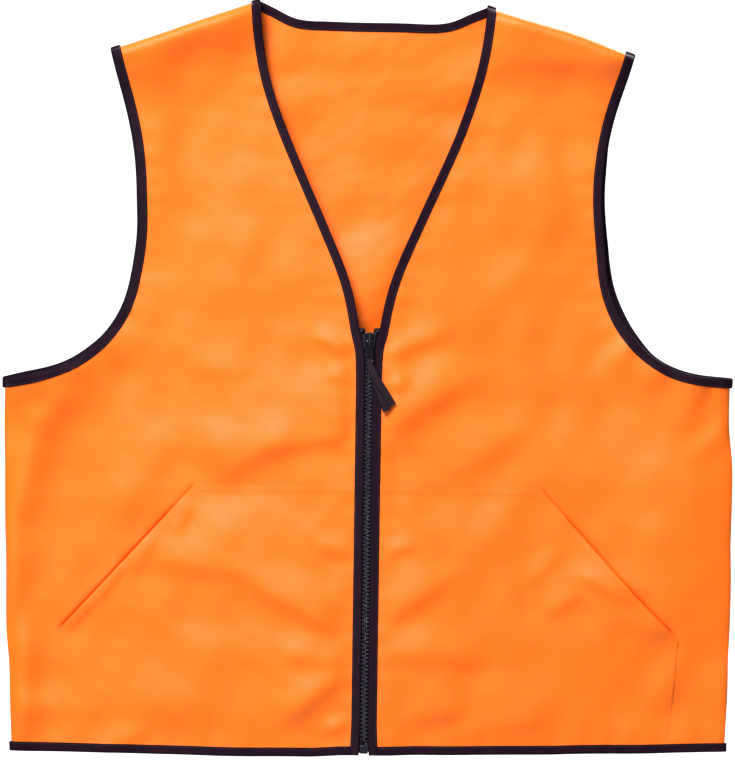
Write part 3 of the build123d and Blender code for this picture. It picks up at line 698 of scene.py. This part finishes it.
def thread_material(name, colour, pale):
    """Twisted sewing thread."""
    material, add, shade = node_material(name)
    place = add("ShaderNodeTexCoord").outputs["Object"]
    twist = add("ShaderNodeTexWave", {"Vector": place, "Scale": 1400.0, "Distortion": 1.0},
                bands_direction="DIAGONAL").outputs["Fac"]
    fuzz = noise(add, place, 2400.0, 2.0)
    shade({
        # Paler along the crests of the twist, a painted highlight, and paler at random with the
        # fuzz.
        "Base Color": mix_colour(add, times(add, plus(add, twist, fuzz), 0.5), colour, pale),
        "Roughness": remap(add, fuzz, 0.3, 0.7, 0.45, 0.65),
        "Normal": bump(add, twist, 0.5, 0.00005),
        "Specular IOR Level": 0.35,
        "Sheen Weight": 0.2,
        "Sheen Roughness": 0.45,
    })
    return material


orange = cloth_material("orange_cloth", (1.0, 0.166, 0.004, 1.0), (0.98, 0.15, 0.003, 1.0))
binding = ribbed_material("binding_tape", (0.0165, 0.0042, 0.0125, 1.0),
                          (0.0035, 0.001, 0.008, 1.0), 0.008, sheen=0.0)
tape_cloth = ribbed_material("zip_tape_twill", (0.013, 0.008, 0.014, 1.0),
                             (0.006, 0.004, 0.01, 1.0), 0.0115, 0.0009, edge_shade_strength=0.3)
webbing = ribbed_material("pull_webbing", (0.0225, 0.0108, 0.0175, 1.0),
                          (0.0065, 0.0045, 0.013, 1.0), 0.0076, 0.0008)
plastic = hard_material("zip_plastic", (0.0042, 0.0034, 0.0085, 1.0), (0.085, 0.07, 0.11, 1.0),
                        0.14, 0.9)
enamel = hard_material("slider_enamel", (0.0022, 0.002, 0.0055, 1.0), (0.16, 0.15, 0.2, 1.0),
                       0.16, 0.4, coat=0.2, edge_wear_and_highlight_range=(0.53, 0.6))
dark_thread = thread_material("dark_thread", (0.011, 0.007, 0.014, 1.0),
                              (0.03, 0.02, 0.036, 1.0))
orange_thread = thread_material("orange_thread", (0.9, 0.13, 0.012, 1.0),
                                (1.0, 0.24, 0.04, 1.0))

# ------------------------------------------------------------ seams
SEAM_OUT = np.array([SHOULDER_SLOPE, 1.0]) / hypot(1, SHOULDER_SLOPE)
SEAM_ALONG = np.array([1.0, -SHOULDER_SLOPE]) / hypot(1, SHOULDER_SLOPE)
SIDE_OUT = np.array([1.0, -SIDE_TAPER]) / hypot(1, SIDE_TAPER)
SIDE_DOWN = np.array([-SIDE_TAPER, -1.0]) / hypot(1, SIDE_TAPER)

# Section of a folded binding: distance in from the fold, height off the cloth's middle
LEG = np.array([
    (8.0, 0.42), (8.12, 0.66), (8.0, 0.9), (7.6, 0.98), (7.05, 0.95), (6.75, 0.86),
    (6.45, 0.94), (5.6, 1.0), (4.0, 1.02), (2.4, 1.02), (1.0, 1.0), (0.4, 0.88),
    (0.1, 0.6), (0.0, 0.2),
])
PROFILE = np.vstack([LEG, (LEG * (1, -1))[::-1], [(1.2, -0.38), (0.8, 0.0), (1.2, 0.38)]])
PROFILE_ACROSS = np.minimum(PROFILE[:, 0], BINDING_WIDTH) - BINDING_WIDTH / 2
PROFILE_MIDDLE = 8  # the point half way across its outer leg
STITCH_IN, STITCH_OUT = 6.75, 0.93  # where a binding's stitches lie in that section
SEWN = 1.0  # how far a bound cloth stands from the middle plane at a seam


def inward(path, hand, start, end, reach=10.0):
    """Directions across a path that swing near its ends to lie along the seams there."""
    at = path_length(path)
    result = across_path(path, hand)
    for direction, distance in ((start, at), (end, at[-1] - at)):
        if direction is not None:
            w = (1 - step_up(distance, 0, reach))[:, None]
            result = result * (1 - w) + direction * w
    return result / np.linalg.norm(result, axis=1)[:, None]


def band(path, directions, surface, out, least=None):
    """Rings of a binding laid on a surface; out is -1 where its face looks to -Y.

    least is the distance in, at each point of the path, that the section starts from.
    """
    d = np.repeat(PROFILE[None, :, 0], len(path), 0)
    if least is not None:
        d = np.maximum(d, least[:, None])
    x = path[:, 0, None] + directions[:, 0, None] * d
    z = path[:, 1, None] + directions[:, 1, None] * d
    return np.stack([x, surface(x, z, SEWN) + out * PROFILE[None, :, 1], z], -1)


def turn(start, end, along, outward, angles):
    """Rings of a binding going round a seam: 0 degrees lies on the front, 180 on the back."""
    rings = []
    reach = SEWN + PROFILE[:, 1]
    for angle in np.radians(angles):
        share = angle / pi
        tip = start * (1 - share) + end * share
        x = tip[0] + along[0] * PROFILE[:, 0] + outward[0] * reach * sin(angle)
        z = tip[1] + along[1] * PROFILE[:, 0] + outward[1] * reach * sin(angle)
        rings.append(np.stack([x, -reach * cos(angle), z], 1))
    return np.array(rings)


def stitch_rows(path, directions, surface, out):
    """The two rows that one seam shows, on the outer and inner leg of a binding."""
    x, z = (path + directions * STITCH_IN).T
    y = surface(x, z, SEWN)
    return [(np.stack([x, y + side * STITCH_OUT * out, z], 1), (0, side * out, 0))
            for side in (1, -1)]


# Sections of a stitch: place along it, and share of its full radius
STITCH_RINGS = [(-0.5, 0.25), (-0.4, 0.85), (0.0, 1.0), (0.4, 0.85), (0.5, 0.25)]
STITCH_SIDES = 6


def stitch(a, b, out, radius, base):
    """Points and faces of one stitch from a to b; its points are numbered from base."""
    along = b - a
    size = np.linalg.norm(along)
    along /= size
    up = np.asarray(out, float) - along * np.dot(out, along)
    up /= np.linalg.norm(up)
    side = np.cross(along, up)
    verts, faces = [], []
    for share, width in STITCH_RINGS:
        # It bows out at its middle and dips into the cloth at its ends
        middle = (a + b) / 2 + along * share * size + up * (0.1 - 1.2 * share**2 * 0.4)
        for t in np.linspace(0, 2 * pi, STITCH_SIDES + 1)[:-1]:
            verts.append(middle + radius * width * (up * cos(t) + side * sin(t)))
    last = (len(STITCH_RINGS) - 1) * STITCH_SIDES
    for r in range(base, base + last, STITCH_SIDES):
        for k in range(STITCH_SIDES):
            m = (k + 1) % STITCH_SIDES
            faces.append((r + k, r + m, r + STITCH_SIDES + m, r + STITCH_SIDES + k))
    faces.append(tuple(base + k for k in reversed(range(STITCH_SIDES))))
    faces.append(tuple(base + last + k for k in range(STITCH_SIDES)))
    return verts, faces


def stitches(name, rows, material, pitch=3.0, length=2.35, radius=0.21):
    """Sewn stitches along rows of (points, outward direction) in mm."""
    verts, faces = [], []
    for points, out in rows:
        starts = np.arange(int(path_length(points)[-1] / pitch)) * pitch + 0.3
        for a, b in zip(at_lengths(points, starts), at_lengths(points, starts + length)):
            if np.linalg.norm(b - a) >= 0.5 * length:
                more_verts, more_faces = stitch(a, b, out, radius, len(verts))
                verts += more_verts
                faces += more_faces
    return new_object(name, verts, faces, material, sharp=80)


def on_front(obj):
    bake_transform(obj)


def on_body(obj, body):
    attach(obj, body)


# ------------------------------------------------------------ paths of the edges
def crossing(line, d, k):
    """The point between k - 1 and k of a line where the distance d is 0."""
    return line[k - 1] + (line[k] - line[k - 1]) * d[k - 1] / (d[k - 1] - d[k])


def cut_at_shoulder(line):
    """A line that starts above the shoulder seam, cut to start on it."""
    d = shoulder_distance(line[:, 0], line[:, 1])
    k = int(np.argmax(d > 0))
    return np.vstack([[crossing(line, d, k)], line[k:]])


def cut_at_side(line):
    """A line that ends beyond the side seam, cut to end on it."""
    d = side_line(line[:, 1]) - line[:, 0]
    k = int(np.argmax(d < 0))
    return np.vstack([line[:k], [crossing(line, d, k)]])


def from_shoulder(path, step=2.2, fine_step=0.8, reach=14.0):
    """Points at even steps, closer where the path comes down from the shoulder seam."""
    length = path_length(path)[-1]
    rest = np.linspace(reach, length, ceil((length - reach) / step) + 1)
    return at_lengths(path, np.r_[np.arange(0, reach, fine_step), rest])


def armhole_path(reach):
    """The armhole's edge from seam to seam, reach further into the opening."""
    line = smooth(ARMHOLE, 1.0)
    return from_shoulder(cut_at_side(cut_at_shoulder(line - reach * across_path(line, -1))))


def hem_path(start, end, step=3.0):
    xs = np.linspace(start, end, ceil(abs(end - start) / step) + 1)
    return np.stack([xs, hem_line(xs)], 1)


front_armhole, back_armhole = armhole_path(0.0), armhole_path(BACK_ARMHOLE_REACH)
front_path = from_shoulder(front_edge_line)
half_neck = smooth(BACK_NECK)
neck_path = np.vstack([half_neck, (half_neck * (-1, 1))[::-1][1:]])


# ------------------------------------------------------------ cloth
def arm_and_side(armhole):
    """A cloth's outline along an armhole, and down the side seam from there."""
    arm = even(armhole, CELL * 0.8) - (CUT, 0)
    return arm, even([arm[-1], (HEM_HALF, -HEM_SIDE_DROP + 0.5)], CELL)[1:]


def front_outline():
    """The front cloth of the +X half, from the neck round by the armhole to the hem."""
    edge = even(front_edge_line, CELL * 0.8) + (CUT, 0)
    arm, side = arm_and_side(front_armhole)
    shoulder = even([edge[0], arm[0]], CELL)[1:-1]
    hem = hem_path(HEM_HALF - 1, edge[-1][0] + 1.0, CELL) + (0, CUT)
    return np.vstack([edge[::-1], shoulder, arm, side, hem])


def back_outline():
    arm, side = arm_and_side(back_armhole)
    neck = even(half_neck, CELL * 0.8) + (0, -CUT)
    neck = neck[shoulder_distance(neck[:, 0], neck[:, 1]) > 0.3]
    start = neck[0][0] + 1.2
    shoulder = even([(start, -SHOULDER_SLOPE * (start - NECK_HALF)), arm[0]], CELL)[:-1]
    half = np.vstack([neck[::-1], shoulder, arm, side])
    hem = hem_path(HEM_HALF - 1, -HEM_HALF + 1, CELL) + (0, CUT)
    return np.vstack([half, hem, (half * (-1, 1))[::-1][:-1]])


mouth_along = np.subtract(*MOUTH[::-1]) / np.linalg.norm(np.subtract(*MOUTH))
mouth_lines = [even(MOUTH, 2.6) + d * mouth_along[::-1] * (-1, 1)
               for d in (-2.2, -0.9, 0.0, 0.9, 2.2, 4.2)]
front_cloths = {
    side: cloth_mesh(f"front_cloth_{LABEL[side]}", front_outline() * (side, 1),
                     front_under_pocket, orange, [line * (side, 1) for line in mouth_lines])
    for side in (1, -1)
}
cloth_back = cloth_mesh("back_cloth", back_outline(), back_surface, orange)


# ------------------------------------------------------------ pockets
HEM_INSET, INNER_EDGE = 6, 10.0  # the pocket's edges under the hem's binding and beside the zip
POCKET_STITCH_OUT = 0.32
# Rows of stitches: along which edge, and how far in from it
POCKET_SEAMS = [(TOP, POCKET_HEM - 1.0), (MOUTH, POCKET_HEM - 1.0), (TOP, 1.3), (OUTER, 1.5)]


def pocket_outline():
    outer_x = POCKET[3][0] - 0.5
    low = hem_line(POCKET[3][0]) + HEM_INSET
    outer = even([POCKET[2], POCKET[3], (outer_x, low)], CELL)[:-1]
    hem = hem_path(outer_x, INNER_EDGE, CELL) + (0, HEM_INSET)
    inner = even([(INNER_EDGE, hem_line(INNER_EDGE) + HEM_INSET), POCKET[0]], CELL)[1:-1]
    return np.vstack([even(TOP, CELL)[:-1], even(MOUTH, CELL)[:-1], outer, hem, inner])


def inside_edge(edge, distance, step, trim=0.0):
    """A line along one of the pocket's edges, moved in from it and shortened at both ends."""
    a, b = np.array(edge, float)
    t = (b - a) / np.linalg.norm(b - a)
    n = np.array([t[1], -t[0]])
    return even([a + n * distance + t * trim, b + n * distance - t * trim], step)


hem_steps = [inside_edge(edge, POCKET_HEM + d, CELL * 0.8) for edge in (TOP, MOUTH)
             for d in (-0.6, 0.7)]
pockets = {}
for side, label in LABEL.items():
    pocket = cloth_mesh(f"pocket_cloth_{label}", pocket_outline() * (side, 1), pocket_surface,
                        orange, [line * (side, 1) for line in hem_steps])
    rows = []
    for edge, distance in POCKET_SEAMS:
        x, z = (inside_edge(edge, distance, 2.0, trim=2) * (side, 1)).T
        y = pocket_surface(x, z) - POCKET_STITCH_OUT
        rows.append((np.stack([x, y, z], 1), (0, -1, 0)))
    seam = stitches(f"pocket_stitches_{label}", rows, orange_thread, 3.2, 2.4, 0.2)
    on_front(pocket)
    on_front(seam)
    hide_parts(f"pocket_{label}")
    pockets[side] = (pocket, seam)

# ------------------------------------------------------------ bindings
bindings = {"left": [], "right": [], "back": []}


def bound_edge(node, rings, rows, side=1, owner="back", loop=False):
    """An edge's folded tape and its stitches, laid out for +X and mirrored to their side."""
    flip = (side, 1, 1)
    tape = closed_strip(node.replace("binding", "tape"), rings * flip, binding,
                        PROFILE_ACROSS, path_length(rings[:, PROFILE_MIDDLE]), loop)
    rows = [(points * flip, out) for points, out in rows]
    seam = stitches(node.replace("binding", "stitches"), rows, dark_thread)
    for piece in (tape, seam):
        if owner == "back":
            on_body(piece, "back")
        else:
            on_front(piece)
    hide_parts(node)
    bindings[owner] += [tape, seam]


def seen_from(side, surface):
    """The surface on a side, for points laid out for +X."""
    def at(x, z, seam):
        return surface(x * side, z, seam)

    return at


def bind_armhole(side):
    """Down the front, round the side seam, up the back and round the shoulder seam."""
    face, rear = seen_from(side, front_surface), seen_from(side, back_surface)
    front_in = inward(front_armhole, -1, -SEAM_ALONG, SIDE_DOWN)
    back_in = inward(back_armhole, -1, -SEAM_ALONG, SIDE_DOWN)
    rings = np.concatenate([
        band(front_armhole, front_in, face, -1),
        turn(front_armhole[-1], back_armhole[-1], SIDE_DOWN, SIDE_OUT, range(30, 180, 30)),
        band(back_armhole, back_in, rear, 1)[::-1],
        turn(front_armhole[0], back_armhole[0], -SEAM_ALONG, SEAM_OUT, range(150, 0, -30)),
    ])
    rows = (stitch_rows(front_armhole, front_in, face, -1)
            + stitch_rows(back_armhole, back_in, rear, 1))
    bound_edge(f"armhole_binding_{LABEL[side]}", rings, rows, side, loop=True)


def bind_front_edge(side):
    """From part way round the shoulder seam at the neck down to the hem."""
    face = seen_from(side, front_surface)
    directions = inward(front_path, 1, SEAM_ALONG, None, 9.0)
    rings = np.concatenate([
        turn(front_path[0], front_path[0], SEAM_ALONG, SEAM_OUT, range(110, 0, -22)),
        band(front_path, directions, face, -1),
    ])
    rows = stitch_rows(front_path[:-3], directions[:-3], face, -1)
    bound_edge(f"front_edge_binding_{LABEL[side]}", rings, rows, side, LABEL[side])


def bind_front_hem(side):
    """From under the front edge's binding to the side seam, and part way round it."""
    face = seen_from(side, front_surface)
    path = hem_path(9.0, HEM_HALF)
    directions = inward(path, 1, None, -SIDE_DOWN)
    rings = np.concatenate([
        band(path, directions, face, -1),
        turn(path[-1], path[-1], -SIDE_DOWN, SIDE_OUT, range(22, 100, 22)),
    ])
    x, y, z = np.moveaxis(rings, -1, 0)
    # Thinner where it lies under the front edge's binding
    thinner = 0.15 * (1 - step_up(x, 11.6, 13.5))
    rings[:, :, 1] = np.where(x < 14, y + (face(x, z, SEWN) - y) * thinner, y)
    rows = stitch_rows(path[2:], directions[2:], face, -1)
    bound_edge(f"front_hem_binding_{LABEL[side]}", rings, rows, side, LABEL[side])


def bind_back_neck():
    """Cut at its ends to meet the shoulder seams."""
    directions = across_path(neck_path, 1)
    below = shoulder_distance(neck_path[:, 0], neck_path[:, 1])
    away = (directions[:, 0] * -np.sign(neck_path[:, 0]) * SEAM_OUT[0]
            - directions[:, 1] * SEAM_OUT[1])
    least = np.clip(np.where(below < 0, -below / np.maximum(away, 0.2), 0), 0, BINDING_WIDTH)
    rings = band(neck_path, directions, back_surface, 1, least)
    sewn = below > 1
    rows = stitch_rows(neck_path[sewn], directions[sewn], back_surface, 1)
    bound_edge("back_neck_binding", rings, rows)


def bind_back_hem():
    """From side seam to side seam, with the rest of the way round each."""
    path = hem_path(HEM_HALF, -HEM_HALF)
    directions = inward(path, -1, -SIDE_DOWN, -SIDE_DOWN * (-1, 1))
    end = turn(path[0], path[0], -SIDE_DOWN, SIDE_OUT, range(100, 180, 22))
    rings = np.concatenate([end, band(path, directions, back_surface, 1),
                            (end * (-1, 1, 1))[::-1]])
    bound_edge("back_hem_binding", rings, stitch_rows(path, directions, back_surface, 1))


for side in (1, -1):
    bind_armhole(side)
    bind_front_edge(side)
    bind_front_hem(side)
bind_back_neck()
bind_back_hem()

# ------------------------------------------------------------ sheets on their bodies
for side, label in LABEL.items():
    front = front_cloths[side]
    on_front(front)
    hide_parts(f"front_panel_{label}", f"front_side_{label}")
    pocket, seam = pockets[side]
on_body(cloth_back, "back")
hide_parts("back_panel")

# ------------------------------------------------------------ zip
TAPE_IN, TAPE_OUT = 1.12, 13.9  # where a tape starts and ends beside the zip's middle
TAPE_WIDTH, TAPE_SET_BACK = 11.5, 1.36
TAPE_LOW = {1: ZIP_LOW + 2, -1: -664.6}
MESHED_BELOW = -330
# Section: the bead that the teeth grip, a woven field, the selvedge and the tape's back
TAPE_SECTION = [
    (0.0, 0.0), (0.1, 0.55), (0.7, 0.72), (1.3, 0.5), (1.9, 0.3), (4.5, 0.26), (8.0, 0.26),
    (11.2, 0.28), (11.5, 0.1), (11.5, -0.1), (11.2, -0.28), (8.0, -0.26), (4.5, -0.26),
    (2.2, -0.3), (1.7, -1.88), (-0.99, -1.88), (-1.0, -1.8), (0.1, -1.76), (0.2, -0.55),
]


def zip_point(u, v, w):
    """A point of the zip's own frame in the vest's frame: across, up the zip, outward."""
    return np.stack(np.broadcast_arrays(
        u, ZIP_AT_NECK + v * sin(ZIP_LEAN) - w * cos(ZIP_LEAN),
        v * cos(ZIP_LEAN) + w * sin(ZIP_LEAN)), -1)


def row_spread(height):
    """How far each row of teeth has parted above the slider."""
    return 3.2 * (np.maximum(height + 306, 0) / 13) ** 0.8


def zip_tape(side):
    low = TAPE_LOW[side]
    heights = np.r_[np.arange(ZIP_TOP + 0.6, MESHED_BELOW, -1.6),
                    np.arange(MESHED_BELOW, low, -6.0), low]
    d, off = np.array(TAPE_SECTION).T
    start = (TAPE_IN + row_spread(heights))[:, None]
    x = side * (start + d * (TAPE_OUT - TAPE_IN) / TAPE_WIDTH)
    z = np.repeat(heights[:, None], len(d), 1)
    # The tape's top end curls back a little where it was cut
    curl = 0.7 * np.clip(1 - (heights[0] - heights) / 4.0, 0, 1) ** 2
    y = front_surface(x, z) + TAPE_SET_BACK - off * 0.9 + curl[:, None]
    rings = np.stack([x, y, z], -1)[:, ::side]
    tape = closed_strip(f"tape_of_zip_{LABEL[side]}", rings, tape_cloth,
                        (d - TAPE_WIDTH / 2)[::side], path_length(rings[:, 5]), rigid=True)
    on_body(tape, f"front_{LABEL[side]}")
    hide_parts(f"zip_tape_{LABEL[side]}")


def finish_cad(name, material, width):
    """Gives a moulded or cast CAD piece rounded edges and its material."""
    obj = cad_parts[name]
    if not obj.material_slots:
        obj.data.materials.append(material)
    for slot in obj.material_slots:
        slot.material = material
    weld = obj.modifiers.new("weld", "WELD")
    weld.merge_threshold = 0.00001
    bevel = obj.modifiers.new("round", "BEVEL")
    bevel.width, bevel.segments = width * MM, 2
    bevel.limit_method, bevel.angle_limit = "ANGLE", radians(35)
    bevel.harden_normals = True
    smoothed = obj.modifiers.new("smooth", "WEIGHTED_NORMAL")
    smoothed.keep_sharp = True


for side in (1, -1):
    zip_tape(side)
for name, width in (("zip_teeth_left", 0.22), ("zip_teeth_right", 0.22), ("top_stop_left", 0.2),
                    ("top_stop_right", 0.2), ("insertion_pin_left", 0.2),
                    ("retainer_box", 0.3)):
    finish_cad(name, plastic, width)
finish_cad("slider_body", enamel, 0.18)
finish_cad("pull_tab", enamel, 0.22)

# ------------------------------------------------------------ fabric pull
# One strap from the front leg's end, through the tab's slot, to the back leg's
PULL_PATH = [
    (21.4, -356.6, 5.4), (16.9, -349.4, 5.3), (12.4, -342.4, 5.3), (8.0, -335.6, 5.4),
    (4.3, -329.0, 5.6), (1.7, -323.0, 5.7), (0.5, -319.4, 5.6), (0.2, -317.4, 5.45),
    (0.0, -315.7, 4.9), (0.0, -315.1, 3.4), (0.0, -315.7, 1.95), (0.3, -317.4, 1.5),
    (1.2, -320.5, 1.7), (2.6, -325.5, 2.5), (5.4, -334.0, 3.4), (9.6, -345.0, 3.75),
    (16.6, -361.6, 3.7),
]
PULL_FOLD = PULL_PATH[9]  # where it passes over the tab's bar
# Distance from the fold, and the strap's width there
PULL_WIDTHS = ([0, 4.8, 8.2, 10.5, 60], [4.1, 4.3, 6.8, 7.1, 7.1])
PULL_THICKNESS, PULL_PATTERN_WIDTH = 0.8, 7.6
# Section as shares of the width and the thickness, thicker at both selvedges
PULL_FACE = np.array([(-0.5, 0.0), (-0.49, 0.3), (-0.46, 0.48), (-0.3, 0.44), (0, 0.42),
                      (0.3, 0.44), (0.46, 0.48), (0.49, 0.3)])
PULL_SECTION = np.vstack([PULL_FACE, -PULL_FACE])


def pull_strap():
    path = smooth(PULL_PATH, 0.8)
    along = path_length(path)
    from_fold = abs(along - along[np.argmin(np.sum(abs(path - PULL_FOLD), axis=1))])
    rings = []
    for place, t, off, width in zip(path, tangents(path), from_fold,
                                    np.interp(from_fold, *PULL_WIDTHS)):
        # Flat across the slot at the fold, and turning to lie along each leg's lean
        leg = step_up(off, 3.0, 14.0)
        down = t[:2] / max(np.linalg.norm(t[:2]), 1e-6) * (-1 if t[1] > 0 else 1)
        lean = np.array([-down[1], down[0], 0.0])
        across = np.array([1.0, 0.0, 0.0]) * (1 - leg) + lean * leg
        across -= t * np.dot(across, t)
        across /= np.linalg.norm(across)
        face = np.cross(across, t)
        cup = 0.35 * step_up(off, 5, 16)
        rings.append([place + across * width * a
                      + face * (b * PULL_THICKNESS + cup * (a * a - 0.12))
                      for a, b in PULL_SECTION])
    rings = zip_point(*np.moveaxis(np.array(rings), -1, 0))
    across = PULL_SECTION[:, 0] * PULL_PATTERN_WIDTH
    return closed_strip("pull_strap", rings, webbing, across, along, rigid=True)


strap = pull_strap()
on_body(strap, "pull_tape")
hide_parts("pull_tape")


# ------------------------------------------------------------ stage, light and camera
FLOOR, WALL, TALL, WIDE = -2.6, 11, 8, 12
LOOK_AT = Vector((0.0, -0.01, -0.335))
DISTANCE, VIEW_HEIGHT, SENSOR = 7.0, 0.6765, 36.0
CAMERA_X, CAMERA_Z, CAMERA_ROLL = -0.0012, -0.3340, radians(-0.8)
WHITE = (1.0, 1.0, 1.0, 1.0)


def plain_material(name, grey, glow=0.0):
    material, _, shade = node_material(name)
    shade({"Base Color": (grey, grey, grey, 1.0), "Roughness": 0.9,
           "Emission Color": WHITE, "Emission Strength": glow})
    return material


def flat_quad(name, corners, material):
    mesh = bpy.data.meshes.new(name)
    mesh.from_pydata(corners, [], [(0, 1, 2, 3)])
    mesh.materials.append(material)
    link_new(name, mesh)


def area_light(name, place, size, power):
    data = bpy.data.lights.new(name, "AREA")
    data.shape, data.size, data.energy = "DISK", size, power
    lamp = link_new(name, data)
    lamp.location = place
    lamp.rotation_euler = (LOOK_AT - Vector(place)).to_track_quat("-Z", "Y").to_euler()


flat_quad("floor", [(-WIDE, -WIDE, FLOOR), (WIDE, -WIDE, FLOOR), (WIDE, WIDE, FLOOR),
                    (-WIDE, WIDE, FLOOR)], plain_material("floor_paper", 0.7))
flat_quad("backdrop", [(-WIDE, WALL, FLOOR), (WIDE, WALL, FLOOR), (WIDE, WALL, TALL),
                       (-WIDE, WALL, TALL)], plain_material("backdrop_paper", 0.86, 1.0))

world = bpy.data.worlds.new("studio")
world.use_nodes = True
world.node_tree.nodes["Background"].inputs["Color"].default_value = WHITE
world.node_tree.nodes["Background"].inputs["Strength"].default_value = 0.15
bpy.context.scene.world = world

area_light("key", (-1.4, -2.4, 2.55), 2.2, 340.0)
area_light("fill", (2.6, -3.0, 0.2), 2.5, 10.0)
area_light("rear", (1.5, 3.2, 2.0), 2.0, 130.0)

camera_data = bpy.data.cameras.new("camera")
camera_data.lens, camera_data.sensor_width = SENSOR * DISTANCE / VIEW_HEIGHT, SENSOR
camera_data.dof.use_dof = False
camera = link_new("camera", camera_data)
camera.location = (CAMERA_X, -DISTANCE, CAMERA_Z)
camera.rotation_euler = (radians(90), CAMERA_ROLL, 0)
bpy.context.scene.camera = camera
bpy.context.scene.view_settings.view_transform = "Standard"
